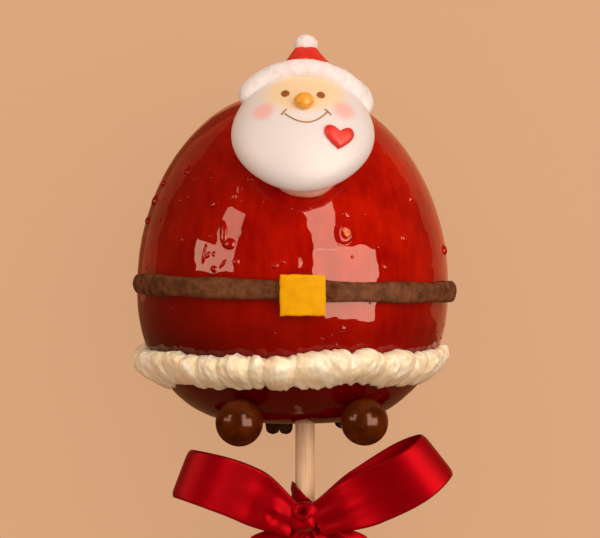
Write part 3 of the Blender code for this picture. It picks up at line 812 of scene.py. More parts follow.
    def closed(self, name: str, bm: bmesh.types.BMesh) -> bpy.types.Mesh:
        """Turns the blisters to a mesh with merged middles."""
        bmesh.ops.remove_doubles(bm, verts=bm.verts, dist=0.001 * MM)
        bmesh.ops.recalc_face_normals(bm, faces=bm.faces)
        mesh = bpy.data.meshes.new(name)
        bm.to_mesh(mesh)
        bm.free()
        mesh.shade_smooth()
        return mesh

    def beads_tree(self, finish: bpy.types.Material) -> bpy.types.NodeTree:
        """Scatters small beads over the coat, where bubbles rose.

        Args:
            finish: the beads' material.

        Returns:
            The geometry tree, with its sizes as named inputs.
        """
        tree = bpy.data.node_groups.new("toffee_beads", "GeometryNodeTree")
        tree.interface.new_socket("Geometry", in_out="INPUT", socket_type="NodeSocketGeometry")
        for name in ("Density", "Smallest", "Largest"):
            tree.interface.new_socket(name, in_out="INPUT", socket_type="NodeSocketFloat")
        tree.interface.new_socket("Seed", in_out="INPUT", socket_type="NodeSocketInt")
        tree.interface.new_socket("Geometry", in_out="OUTPUT", socket_type="NodeSocketGeometry")
        given = add_node(tree, "NodeGroupInput").outputs
        place = add_node(tree, "GeometryNodeInputPosition").outputs[0]
        patches = add_node(
            tree, "ShaderNodeTexNoise", {"Scale": 1 / (14 * MM), "Detail": 1.0}, {"Vector": place}
        )
        gathered = add_node(
            tree, "ShaderNodeMapRange", {"From Min": 0.5, "From Max": 0.68}, {"Value": patches.outputs["Fac"]}
        )
        parts = add_node(tree, "ShaderNodeSeparateXYZ", links={0: place})
        upper = add_node(
            tree, "ShaderNodeMapRange", {"From Min": -16 * MM, "From Max": -4 * MM}, {"Value": parts.outputs["Y"]}
        )
        shown = add_node(
            tree, "ShaderNodeMapRange", {"From Min": 20 * MM, "From Max": 45 * MM}, {"Value": parts.outputs["Z"]}
        )
        mask = add_node(
            tree, "ShaderNodeMath", links={0: gathered.outputs[0], 1: upper.outputs[0]}, operation="MULTIPLY"
        )
        mask = add_node(tree, "ShaderNodeMath", links={0: mask.outputs[0], 1: shown.outputs[0]}, operation="MULTIPLY")
        density = add_node(
            tree, "ShaderNodeMath", links={0: mask.outputs[0], 1: given["Density"]}, operation="MULTIPLY"
        )
        points = add_node(
            tree,
            "GeometryNodeDistributePointsOnFaces",
            links={"Mesh": given["Geometry"], "Density": density.outputs[0], "Seed": given["Seed"]},
        )
        bead = add_node(tree, "GeometryNodeMeshUVSphere", {"Segments": 12, "Rings": 7, "Radius": 1.0})
        flat = add_node(tree, "GeometryNodeTransform", {"Scale": (1.0, 1.0, 0.55)}, {"Geometry": bead.outputs["Mesh"]})
        size = add_node(
            tree,
            "FunctionNodeRandomValue",
            links={2: given["Smallest"], 3: given["Largest"], "Seed": given["Seed"]},
            data_type="FLOAT",
        )
        set_on = add_node(
            tree,
            "GeometryNodeInstanceOnPoints",
            links={
                "Points": points.outputs["Points"],
                "Instance": flat.outputs[0],
                "Rotation": points.outputs["Rotation"],
                "Scale": size.outputs[1],
            },
        )
        real = add_node(tree, "GeometryNodeRealizeInstances", links={0: set_on.outputs[0]})
        smooth = add_node(tree, "GeometryNodeSetShadeSmooth", links={0: real.outputs[0]})
        painted = add_node(tree, "GeometryNodeSetMaterial", {"Material": finish}, {"Geometry": smooth.outputs[0]})
        add_node(tree, "NodeGroupOutput", links={0: painted.outputs[0]})
        return tree

    def build(self, finish: bpy.types.Material, syrup: bpy.types.Material) -> None:
        """Makes the blisters, the amber one and the beads."""
        bm = bmesh.new()
        for blister in self.blisters:
            self.cap(bm, blister)
        dress(as_object("toffee_blisters", self.closed("toffee_blisters", bm)), finish)
        bm = bmesh.new()
        self.cap(bm, self.amber, 0.5)
        dress(as_object("burst_blister", self.closed("burst_blister", bm)), finish)
        bm = bmesh.new()
        inner = Blister(self.amber.angle + 0.9, self.amber.level, self.amber.across * 0.6, self.amber.along * 0.72, 0, 0.62)
        self.cap(bm, inner)
        dress(as_object("amber_syrup", self.closed("amber_syrup", bm)), syrup)
        piece = as_object("toffee_beads", self.coat.mesh())
        modifier = piece.modifiers.new("Beads", "NODES")
        tree = self.beads_tree(finish)
        modifier.node_group = tree
        values = {"Density": self.density, "Smallest": 0.14 * MM, "Largest": 0.42 * MM, "Seed": self.seed}
        for socket in tree.interface.items_tree:
            if socket.in_out == "INPUT" and socket.name in values:
                modifier[socket.identifier] = values[socket.name]
        dress(baked(piece), finish)


@dataclass
class Stick:
    """The round birch stick."""

    sides: int = 48
    edge: float = 0.6 * MM

    def build(self, finish: bpy.types.Material) -> None:
        """Makes the stick from its box, a hair out of true."""
        low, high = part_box("stick")
        centre, radius = (low + high) / 2, (high.x - low.x) / 2
        levels = [(0.0, self.edge), (0.18 * MM, self.edge * 0.45), (self.edge, 0.0)]
        count = 60
        body = [(self.edge + (high.y - low.y - 2 * self.edge) * i / count, 0.0) for i in range(1, count)]
        ends = [(high.y - low.y - down, inset) for down, inset in reversed(levels)]
        rows: Grid = []
        for along, inset in [*levels, *body, *ends]:
            row = []
            for k in range(self.sides):
                angle = 2 * math.pi * k / self.sides
                flat = Vector((math.sin(angle), along / (4 * MM) * 0.05, math.cos(angle)))
                reach = radius - inset + 0.03 * MM * noise.noise(flat * 3)
                row.append(Vector((centre.x + reach * flat.x, low.y + along, centre.z + reach * flat.z)))
            rows.append(row)
        mesh = grid_mesh("birch_stick", rows, around=True, capped=True)
        dress(as_object("birch_stick", mesh), finish, ["stick"])


@dataclass
class Calyx:
    """The dry scales that hang out of the hollow around the stick."""

    thickness: float = 0.5 * MM
    top: float = -31.0 * MM

    def scale(self, side: str, teeth: int) -> bpy.types.Mesh:
        """One curled scale with ragged teeth, set by its node's box and a little wider than it at the top."""
        low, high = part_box("calyx_" + side)
        width = high.x - low.x
        columns, rows = 10 * teeth, 12
        front: Grid = []
        for i in range(rows + 1):
            down = i / rows
            row = []
            for k in range(columns + 1):
                share = k / columns
                tooth = abs(math.sin(math.pi * teeth * share)) ** 0.45
                end = low.y + 1.2 * MM * (1.0 - tooth) + 0.2 * MM * ripple(Vector((share, 0, 0)), 0.12, 2.0)
                level = self.top + (end - self.top) * down
                taper = 1.0 - 0.22 * down
                across = (low.x + high.x) / 2 + 1.12 * width * taper * (share - 0.5)
                curl = 1.3 * MM * math.sin(math.pi * share) - 0.8 * MM * down * down
                crease = 0.35 * MM * ripple(Vector((across, level * 0.4, 0)), 1.2 * MM, 4.0)
                row.append(Vector((across, level, (low.z + high.z) / 2 - 0.4 * MM + curl + crease)))
            front.append(row)
        return grid_mesh("calyx_scale_" + side, front)

    def build(self, finish: bpy.types.Material) -> None:
        """Makes the two scales with their thickness."""
        for side, teeth in (("left", 2), ("right", 1)):
            piece = as_object("calyx_scale_" + side, self.scale(side, teeth))
            thick = piece.modifiers.new("Thickness", "SOLIDIFY")
            thick.thickness = self.thickness
            thick.offset = 0.0
            dress(baked(piece), finish, ["calyx_" + side])


# ---------------------------------------------------------------- belt, buckle, trim and feet


@dataclass
class Belt:
    """Two strands of kneaded chocolate, the right one lapping over the left one's tongue."""

    form: AppleForm
    height: float = 5.4 * MM
    depth: float = 2.9 * MM
    tilt: float = math.radians(1.6)
    steps: int = 220
    arc: int = 20

    def strand(
        self, name: str, start: float, end: float, depth_at: Callable[[float], float], lift_at: Callable[[float], float]
    ) -> bpy.types.Mesh:
        """One strand from one angle to another.

        Args:
            name: the mesh's name.
            start: the angle where it begins.
            end: the angle where it ends.
            depth_at: its depth at an angle.
            lift_at: its distance from the apple at an angle.

        Returns:
            The mesh.
        """
        rows: Grid = []
        for i in range(self.steps + 1):
            share = i / self.steps
            angle = start + (end - start) * share
            level = -math.tan(self.tilt) * self.form.radius * math.sin(angle)
            half = self.height / 2 * (0.94 + 0.06 * math.sin(11.0 * angle))
            half *= 1.0 - 0.12 * (1.0 - smooth_step(min(share, 1.0 - share) * 90.0))
            row = []
            for k in range(self.arc + 1):
                turn = math.pi * k / self.arc
                rise = level - half * math.cos(turn)
                out = 0.1 * MM + lift_at(angle) + depth_at(angle) * math.sin(turn) ** 0.28
                point = self.form.around(angle, rise, out)
                dents = 0.15 * MM * folds(point, 3.2 * MM, 2, 2.0) + 0.09 * MM * folds(point, 0.9 * MM, 2, 3.0)
                crumb = 0.13 * MM * folds(point, 1.1 * MM, 2, 5.0) * abs(math.cos(turn))
                row.append(self.form.around(angle, rise + crumb, out + dents * math.sin(turn)))
            rows.append(row)
        return grid_mesh(name, rows, around=True, capped=True)

    def build(self, finish: bpy.types.Material) -> None:
        """Makes the two strands."""
        tongue, gap = 1.0 * MM, 0.3 * MM

        def left_depth(angle: float) -> float:
            """The left strand thins to a tongue under the buckle."""
            thinned = smooth_step((angle + math.radians(9.0)) / math.radians(13.0))
            return self.depth + (tongue - self.depth) * thinned

        def right_lift(angle: float) -> float:
            """The right strand climbs over the tongue."""
            return (tongue + gap) * (1.0 - smooth_step((angle - math.radians(17.0)) / math.radians(5.0)))

        def right_depth(angle: float) -> float:
            """The right strand's end is rounded."""
            rounded = smooth_step((angle - math.radians(11.0)) / math.radians(4.5))
            return (self.depth - right_lift(angle) * 0.6) * (0.35 + 0.65 * rounded)

        left = self.strand(
            "belt_strand_left", math.radians(-69.0), math.radians(17.0), left_depth, lambda angle: 0.0
        )
        right = self.strand("belt_strand_right", math.radians(11.0), math.radians(75.0), right_depth, right_lift)
        dress(as_object("belt_strand_left", left), finish, ["belt_left"])
        dress(as_object("belt_strand_right", right), finish, ["belt_right"])


@dataclass
class Buckle:
    """A square cut from a sheet of yellow fondant."""

    form: AppleForm
    steps: int = 36

    def build(self, finish: bpy.types.Material) -> None:
        """Makes the square, bent to the apple, with soft cut edges."""
        low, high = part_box("buckle")
        width, length = high.x - low.x - 0.2 * MM, high.y - low.y
        centre = centre_of("buckle")
        top = high.z
        rows: Grid = []
        profile = [(0.0, 1.9), (0.0, 0.35), (0.12, 0.1), (0.4, 0.0), (0.9, -0.02)]
        for inset, down in profile:
            ring = []
            half_x, half_y = width / 2 - inset * MM, length / 2 - inset * MM
            for k in range(4 * self.steps):
                side, along = divmod(k, self.steps)
                share = 2.0 * along / self.steps - 1.0
                flat = ((share, -1.0), (1.0, share), (-share, 1.0), (-1.0, -share))[side]
                x, y = half_x * flat[0], half_y * flat[1]
                place = Vector((centre.x + x, centre.y + y, 0.0))
                x += 0.2 * MM * ripple(place, 1.6 * MM, 1.0)
                y += 0.2 * MM * ripple(place, 1.4 * MM, 9.0)
                bend = (x * x) / (2.0 * self.form.radius)
                ring.append(Vector((centre.x + x, centre.y + y, top - down * MM - bend)))
            rows.append(ring)
        mesh = grid_mesh("buckle_square", rows, around=True, capped=True)
        dress(as_object("buckle_square", mesh), finish, ["buckle"])


@dataclass(frozen=True)
class Dab:
    """One dab of the cream ring: the angles where it starts and ends, and how it differs from the mean."""

    start: float
    end: float
    size: float
    shift: float
    lean: float

    def bulge(self, angle: float) -> float:
        """How full the dab is at an angle: 0 in the nips beside it and 1 in its middle."""
        share = (angle - self.start) / (self.end - self.start)
        return max(0.0, 1.0 - abs(2.0 * share - 1.0) ** 2.6) ** 0.75


@dataclass
class PipedTrim:
    """A thick ring of cream, put on in overlapping dabs of uneven width, with folds across them."""

    form: AppleForm
    height: float = 8.4 * MM
    depth: float = 4.9 * MM
    steps: int = 1400
    arc: int = 44
    seat: int = 6
    thin_at: float = math.radians(90.0)  # the ring is thin on its right
    nips: tuple[float, ...] = (-62, -53.5, -44, -37.5, -28, -16, -10.5, 1, 21.3, 35, 49.5, 58.3, 69.5)

    def dabs(self) -> list[Dab]:
        """The dabs by angle, from the front nips and on round the back."""
        angles = [math.radians(nip) for nip in self.nips]
        back = 14
        gap = (angles[0] + 2 * math.pi - angles[-1]) / back
        last = angles[-1]
        angles += [last + gap * (i + 0.28 * math.sin(2.3 * i)) for i in range(1, back)]
        angles.append(angles[0] + 2 * math.pi)
        made = []
        for i, (start, end) in enumerate(zip(angles, angles[1:])):
            width = end - start
            size = 0.9 + 0.22 * min(1.0, width / 0.3) + 0.03 * math.sin(3.1 * i)
            made.append(Dab(start, end, size, 0.35 * MM * math.sin(1.7 * i + 0.5), 0.02 + 0.08 * math.sin(2.1 * i)))
        return made

    def build(self, finish: bpy.types.Material) -> None:
        """Makes the ring with its dabs, folds and ragged edges."""
        level = centre_of("cream_trim").y
        dabs = self.dabs()
        first = dabs[0].start
        rows: Grid = []
        for i in range(self.steps):
            base = first + 2 * math.pi * i / self.steps
            wander = 0.45 * MM * math.sin(2 * base + 0.6) + 0.3 * MM * math.sin(5 * base)
            aside = math.remainder(base - self.thin_at, 2 * math.pi)
            depth = self.depth * (1.0 - 0.42 * math.exp(-((aside / math.radians(24.0)) ** 2)))
            row = []
            for k in range(self.arc + 1):
                turn = math.pi * k / self.arc
                # a dab leans, so its edge lies further round at the top than at the foot
                seen = first + (base - first + 0.01 * math.cos(turn)) % (2 * math.pi)
                dab = next(d for d in dabs if seen < d.end or d is dabs[-1])
                bulge = dab.bulge(seen)
                swell = dab.size * (0.8 + 0.2 * bulge)
                rise = level + wander + dab.shift * bulge - self.height / 2 * swell * math.cos(turn)
                body = depth * (0.74 + 0.28 * bulge * dab.size) * math.sin(turn) ** 0.75
                slanted = self.form.around(base + dab.lean * (rise - level) / self.form.radius, level, 0.0)
                slanted.y = (rise - level) * 0.6
                crease = MM * (0.95 * folds(slanted, 3.6 * MM, 3, 1.5)) * math.sin(turn) ** 0.5
                slanted.y += dab.start
                fine = MM * (0.06 - 0.3 * abs(folds(slanted, 1.9 * MM, 2, 4.5))) * math.sin(turn) ** 0.5
                under = 0.7 * MM * math.sin(math.pi * min(1.0, k / (0.42 * self.arc))) ** 2
                ragged = 0.75 * MM * folds(self.form.around(base, level, 0.0), 1.9 * MM, 2, 6.0 + turn)
                edge = rise + ragged * math.cos(turn) ** 2
                out = 0.1 * MM + body + crease + fine - under * (0.3 + 0.7 * bulge)
                row.append(self.form.around(base, edge, max(0.05 * MM, out)))
            half = self.height / 2 * 0.8
            for k in range(1, self.seat):
                rise = level + wander + half * (1.0 - 2.0 * k / self.seat)
                row.append(self.form.around(base, rise, 0.05 * MM))
            for point in row:
                point.z = max(0.0, point.z)
            rows.append(row)
        mesh = grid_mesh("cream_ring", rows, around=True, closed=True)
        dress(as_object("cream_ring", mesh), finish, ["cream_trim"])


@dataclass
class Feet:
    """Two panned chocolate balls."""

    columns: int = 64
    rows: int = 40

    def build(self, finish: bpy.types.Material) -> None:
        """Makes each ball in its node's box, a little out of round."""
        for side in ("left", "right"):
            node = "foot_ball_" + side
            low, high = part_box(node)
            centre, radius = (low + high) / 2, (high.y - low.y) / 2
            rows: Grid = []
            for i in range(self.rows + 1):
                up = math.pi / 2 - math.pi * i / self.rows
                row = []
                for k in range(self.columns):
                    turn = 2 * math.pi * k / self.columns
                    way = Vector((math.cos(up) * math.cos(turn), math.cos(up) * math.sin(turn), math.sin(up)))
                    reach = radius * (1.0 + 0.008 * noise.noise(way * 1.3 + centre * 500))
                    row.append(centre + way * reach)
                rows.append(row)
            mesh = grid_mesh("chocolate_ball_" + side, rows, around=True, capped=True)
            dress(as_object("chocolate_ball_" + side, mesh), finish, [node])


# ---------------------------------------------------------------- head


@dataclass
class HeadForm:
    """The head's own axes (across, up the face, out of it) and the shape of its front."""

    lean: float = math.radians(37.0)
    half: tuple[float, float] = (16.9 * MM, 19.4 * MM)
    front: float = 9.0 * MM
    back: float = 6.0 * MM
    rise: float = 2.2 * MM
    centre: float = 4.5 * MM

    def __post_init__(self) -> None:
        """Lays the axes so that the head fills its node's box."""
        up = Vector((0.0, math.cos(self.lean), -math.sin(self.lean)))
        out = Vector((0.0, math.sin(self.lean), math.cos(self.lean)))
        self.axes = Matrix((Vector((1.0, 0.0, 0.0)), up, out)).transposed().to_4x4()
        points = [point for row in self.rows(28, 32) for point in row]
        low = Vector([min(p[i] for p in points) for i in range(3)])
        high = Vector([max(p[i] for p in points) for i in range(3)])
        self.axes = Matrix.Translation(centre_of("head") - (low + high) / 2) @ self.axes

    def fullness(self, share: float) -> float:
        """The width by height against an ellipse's: fuller at the beard."""
        return 1.03 - 0.18 * share - 0.22 * share**2

    def rows(self, rings: int, columns: int) -> Grid:
        """Rings of points from the crown to the beard's tip, with the back cut flat."""
        made: Grid = []
        for i in range(rings + 1):
            up = math.pi / 2 - math.pi * i / rings
            row = []
            for k in range(columns):
                turn = 2 * math.pi * k / columns
                x, y, z = math.cos(up) * math.sin(turn), math.sin(up), math.cos(up) * math.cos(turn)
                depth = self.front if z > 0 else self.back
                local = Vector((
                    x * self.half[0] * self.fullness(y),
                    self.rise + y * self.half[1],
                    max(0.0, self.centre + z * depth),
                ))
                row.append(self.axes @ local)
            made.append(row)
        return made

    def height(self, across: float, up: float) -> float:
        """How far the front stands out of the flat back, at a place on the face."""
        y = (up - self.rise) / self.half[1]
        x = across / (self.half[0] * self.fullness(y))
        return self.centre + self.front * math.sqrt(max(0.0, 1.0 - x * x - y * y))

    def on_face(self, across: float, up: float, proud: float = 0.0) -> Vector:
        """A point on the face, or proud of it."""
        return self.axes @ Vector((across, up, self.height(across, up) + proud))

    def stand(self, across: float, up: float) -> Matrix:
        """A matrix that stands a small piece on the face: its Z is the face's own normal there."""
        step = 0.5 * MM
        here = Vector((across, up, self.height(across, up)))
        aside = Vector((across + step, up, self.height(across + step, up))) - here
        above = Vector((across, up + step, self.height(across, up + step))) - here
        normal = aside.cross(above).normalized()
        upward = (above - above.project(normal)).normalized()
        turned = Matrix((upward.cross(normal), upward, normal)).transposed().to_4x4()
        return self.axes @ Matrix.Translation(here) @ turned


def blob(
    name: str, half: Sequence[float], axes: Matrix, lumps: float = 0.0, size: float = 2 * MM, cut: float | None = None
) -> bpy.types.Mesh:
    """A rounded lump of paste.

    Args:
        name: the mesh's name.
        half: its three half sizes.
        axes: where its own axes lie.
        lumps: the height of its unevenness.
        size: how far apart the uneven places are.
        cut: the level below which it is flat, if any.

    Returns:
        The mesh.
    """
    rows: Grid = []
    rings, columns = 36, 56
    for i in range(rings + 1):
        up = math.pi / 2 - math.pi * i / rings
        row = []
        for k in range(columns):
            turn = 2 * math.pi * k / columns
            way = Vector((math.cos(up) * math.sin(turn), math.sin(up), math.cos(up) * math.cos(turn)))
            local = Vector((way.x * half[0], way.y * half[1], way.z * half[2]))
            local += way * lumps * folds(local, size, 3, half[0] * 1000)
            if cut is not None:
                local.z = max(cut, local.z)
            row.append(axes @ local)
        rows.append(row)
    return grid_mesh(name, rows, around=True, capped=True)


def cord_along(name: str, places: Sequence[Vector], radius: Callable[[float], float], sides: int = 10) -> bpy.types.Mesh:
    """A round strand through places, with its ends capped flat.

    Args:
        name: the mesh's name.
        places: points of its middle line.
        radius: its radius by share of its length.
        sides: how many sides it has.

    Returns:
        The mesh.
    """
    rows: Grid = []
    count = len(places)
    reference = Vector((0.0, 0.0, 1.0))
    for i, place in enumerate(places):
        ahead = places[min(count - 1, i + 1)] - places[max(0, i - 1)]
        ahead.normalize()
        aside = ahead.cross(reference).normalized()
        above = aside.cross(ahead)
        reach = radius(i / (count - 1))
        angles = [2 * math.pi * k / sides for k in range(sides)]
        rows.append([place + (aside * math.cos(a) + above * math.sin(a)) * reach for a in angles])
    return grid_mesh(name, rows, around=True, capped=True)


@dataclass
class SugarHead:
    """The head of sugar paste with its painted face, eyes and smile; Nose and Heart add the nose and heart."""

    form: HeadForm
    eyes: tuple[tuple[float, float], ...] = ((-4.3 * MM, 6.0 * MM), (4.4 * MM, 5.5 * MM))
    eye_half: tuple[float, float] = (1.05 * MM, 1.12 * MM)
    line: float = 0.19 * MM

    def smile(self) -> list[Vector]:
        """Points of the smile's line, a little fuller on its right."""
        places = []
        for i in range(41):
            across = (-4.4 + 10.3 * i / 40) * MM
            aside = across - 0.9 * MM
            bend = 0.100 if aside < 0 else 0.134
            lift = bend * (abs(aside) / MM) ** 1.98 * MM
            places.append(self.form.on_face(across, -3.05 * MM + lift, 0.02 * MM))
        return places

    def build(self, paste: bpy.types.Material, ink: bpy.types.Material, line_ink: bpy.types.Material) -> None:
        """Makes the head, the eyes and the smile."""
        form = self.form
        rings, columns = 110, 140
        rows = form.rows(rings, columns)
        inverse = form.axes.inverted()

        def face_place(row: int, column: int) -> tuple[float, float]:
            """Millimetres across and up the face."""
            local = inverse @ rows[row % (rings + 1)][column % columns]
            return local.x / MM, local.y / MM

        mesh = grid_mesh("head_paste", rows, around=True, capped=True, uv=face_place)
        dress(as_object("head_paste", mesh), paste, ["head"])
        for side, (across, up) in zip(("left", "right"), self.eyes):
            axes = form.stand(across, up)
            eye = blob("eye_" + side, (*self.eye_half, 0.3 * MM), axes)
            dress(as_object("eye_" + side, eye), ink)
        mouth = cord_along("smile_line", self.smile(), lambda share: self.line)
        dress(as_object("smile_line", mouth), line_ink)
        ticks = (((-5.2, -0.7), (-3.9, 0.85)), ((5.3, 1.0), (6.9, -0.6)))
        for side, (start, end) in zip(("left", "right"), ticks):
            places = []
            for i in range(9):
                share = i / 8
                bow = 0.25 * math.sin(math.pi * share)
                across = start[0] + (end[0] - start[0]) * share
                up = start[1] + (end[1] - start[1]) * share + bow
                places.append(form.on_face(across * MM, up * MM, 0.02 * MM))
            tick = cord_along("smile_end_" + side, places, lambda share: self.line)
            dress(as_object("smile_end_" + side, tick), line_ink)


@dataclass
class Nose:
    """A ball of orange paste pressed on the face."""

    form: HeadForm
    place: tuple[float, float] = (0.3 * MM, 2.4 * MM)
    half: tuple[float, float, float] = (2.4 * MM, 2.1 * MM, 1.9 * MM)

    def build(self, finish: bpy.types.Material) -> None:
        """Makes the ball."""
        axes = self.form.stand(*self.place) @ Matrix.Translation((0, 0, self.half[2] * 0.55 + 0.2 * MM))
        mesh = blob("nose_ball", self.half, axes, 0.08 * MM, 1.6 * MM, -self.half[2] * 0.7)
        dress(as_object("nose_ball", mesh), finish, ["nose"])


@dataclass
class Heart:
    """A plump heart of red paste on the beard."""

    form: HeadForm
    place: tuple[float, float] = (8.7 * MM, -6.2 * MM)
    width: float = 7.6 * MM
    thickness: float = 1.5 * MM
    turn: float = math.radians(-2.0)

    def build(self, finish: bpy.types.Material) -> None:
        """Makes the heart in shrinking outlines that round it over."""
        axes = self.form.stand(*self.place) @ Matrix.Rotation(self.turn, 4, "Z")
        count, layers = 96, 16
        rows: Grid = []
        for layer in range(layers + 1):
            share = layer / layers
            scale = math.cos(share * math.pi / 2) ** 0.55 if layer else 0.97
            level = self.thickness * math.sin(share * math.pi / 2) ** 0.9
            row = []
            for i in range(count):
                turn = 2 * math.pi * i / count
                x = 0.5 * math.copysign(abs(math.sin(turn)) ** 1.8, math.sin(turn))
                y = 13 * math.cos(turn) - 5 * math.cos(2 * turn) - 1.8 * math.cos(3 * turn) - 0.9 * math.cos(4 * turn)
                y /= 16
                flat = Vector((x, 0.44 * y + 0.04, 0.0)) * self.width
                point = flat * max(0.02, scale) + Vector((0.0, 0.0, level))
                point += Vector((1, 1, 0)) * 0.06 * MM * ripple(flat, 1.5 * MM, 2.0)
                row.append(axes @ point)
            rows.append(row)
        mesh = grid_mesh("heart_paste", rows, around=True, capped=True)
        dress(as_object("heart_paste", mesh), finish, ["heart"])


@dataclass
class FurBrim:
    """The stippled sugar brim of the cap, with the tuft at its right end."""

    form: HeadForm
    radius: float = 2.45 * MM
    half_width: float = 13.6 * MM
    low: float = 10.0 * MM
    high: float = 14.4 * MM
    proud: float = 0.5 * MM
    sunk: float = 3.0 * MM
    tuft_half: tuple[float, float, float] = (2.9 * MM, 5.0 * MM, 2.6 * MM)
    tuft_place: tuple[float, float, float] = (14.4 * MM, 10.6 * MM, 5.3 * MM)

    def build(self, finish: bpy.types.Material) -> None:
        """Joins the tube and the tuft into one soft roll and stipples it."""
        places, radii = [], []
        count = 64
        for i in range(count + 1):
            side = 2.0 * i / count - 1.0
            turn = side * math.pi / 2 * 0.98
            across = self.half_width * math.sin(turn)
            up = self.low + (self.high - self.low) * math.cos(turn) ** 1.25
            out = self.form.height(across * 0.92, up * 0.92) + self.proud - self.sunk * side**2
            ends = 1.0 - 0.25 * smooth_step((abs(side) - 0.86) / 0.14)
            fuller = 1.0 + 0.12 * smooth_step((abs(side) - 0.35) / 0.4)
            places.append(Vector((across, up, out)))
            radii.append(self.radius * ends * fuller)
        bm = bmesh.new()
        for place, radius in zip(places, radii):
            bmesh.ops.create_icosphere(bm, subdivisions=3, radius=radius, matrix=Matrix.Translation(place))
        turned = Matrix.Translation(self.tuft_place) @ Matrix.Rotation(math.radians(15.0), 4, "Z")
        bmesh.ops.create_icosphere(
            bm, subdivisions=4, radius=1.0, matrix=turned @ Matrix.Diagonal((*self.tuft_half, 1.0))
        )
        mesh = bpy.data.meshes.new("brim_fur")
        bm.to_mesh(mesh)
        bm.free()
        piece = as_object("brim_fur", mesh)
        joined = piece.modifiers.new("Joined", "REMESH")
        joined.mode = "VOXEL"
        joined.voxel_size = 0.3 * MM
        eased = piece.modifiers.new("Eased", "SMOOTH")
        eased.iterations = 8
        eased.factor = 0.6
        baked(piece)
        for vert in piece.data.vertices:
            lump = 0.32 * folds(vert.co, 1.9 * MM, 3, 5.0)
            vert.co = self.form.axes @ (vert.co + vert.normal * lump * MM * 0.8)
        piece.data.shade_smooth()
        dress(piece, finish, ["hat_brim"])


@dataclass
class Cap:
    """The small red cap with its pompom."""

    form: HeadForm
    place: tuple[float, float] = (0.8 * MM, 5.2 * MM)
    radii: tuple[float, float] = (9.7 * MM, 2.5 * MM)
    span: tuple[float, float] = (15.6 * MM, 27.2 * MM)
    thickness: float = 0.5
    pompom_half: tuple[float, float, float] = (2.95 * MM, 2.6 * MM, 2.7 * MM)
    pompom_rise: float = 28.1 * MM

    def build(self, red: bpy.types.Material, white: bpy.types.Material) -> None:
        """Makes the cap with two soft folds, and the pompom."""
        low, high = self.span
        rows: Grid = []
        rings, columns = 40, 96
        for i in range(rings + 1):
            share = i / rings
            reach = self.radii[0] + (self.radii[1] - self.radii[0]) * share
            row = []
            for k in range(columns):
                angle = 2 * math.pi * k / columns
                local = Vector((reach * math.cos(angle), low + (high - low) * share, reach * math.sin(angle)))
                fold = 0.35 * MM * math.sin(3 * angle + 4 * share) * math.sin(math.pi * share)
                local += Vector((math.cos(angle), 0.0, math.sin(angle))) * fold
                local.x += self.place[0]
                local.z = local.z * self.thickness + self.place[1]
                row.append(self.form.axes @ local)
            rows.append(row)
        cap = grid_mesh("cap_paste", rows, around=True, capped=True)
        dress(as_object("cap_paste", cap), red, ["hat"])
        axes = self.form.axes @ Matrix.Translation((self.place[0], self.pompom_rise, self.place[1]))
        pompom = blob("pompom_fur", self.pompom_half, axes, 0.2 * MM, 0.9 * MM)
        dress(as_object("pompom_fur", pompom), white, ["pompom"])


@dataclass
class IcingDab:
    """The dab of icing that holds the head, tinted by the toffee under it."""

    form: HeadForm
    half: tuple[float, float, float] = (8.9 * MM, 9.0 * MM, 4.0 * MM)
    place: tuple[float, float, float] = (0.6 * MM, -5.6 * MM, -1.2 * MM)

    def build(self, finish: bpy.types.Material) -> None:
        """Makes the dab."""
        axes = self.form.axes @ Matrix.Translation(self.place)
        mesh = blob("icing_seat", self.half, axes, 0.25 * MM, 4 * MM)
        dress(as_object("icing_seat", mesh), finish, ["icing_dab"])


# ---------------------------------------------------------------- ribbon


@dataclass(frozen=True)
class LoopCut:
    """One loop of the bow: the ends of its middle line (across, along), and how it is bent.

    The steep is where its front rises most, as a share of its length, the swell how high its wave is (mm), and the
    gather how deep its pleats are.
    """

    near: tuple[float, float]
    far: tuple[float, float]
    skew: float
    bow: float
    shear: float
    steep: float
    swell: float
    gather: float


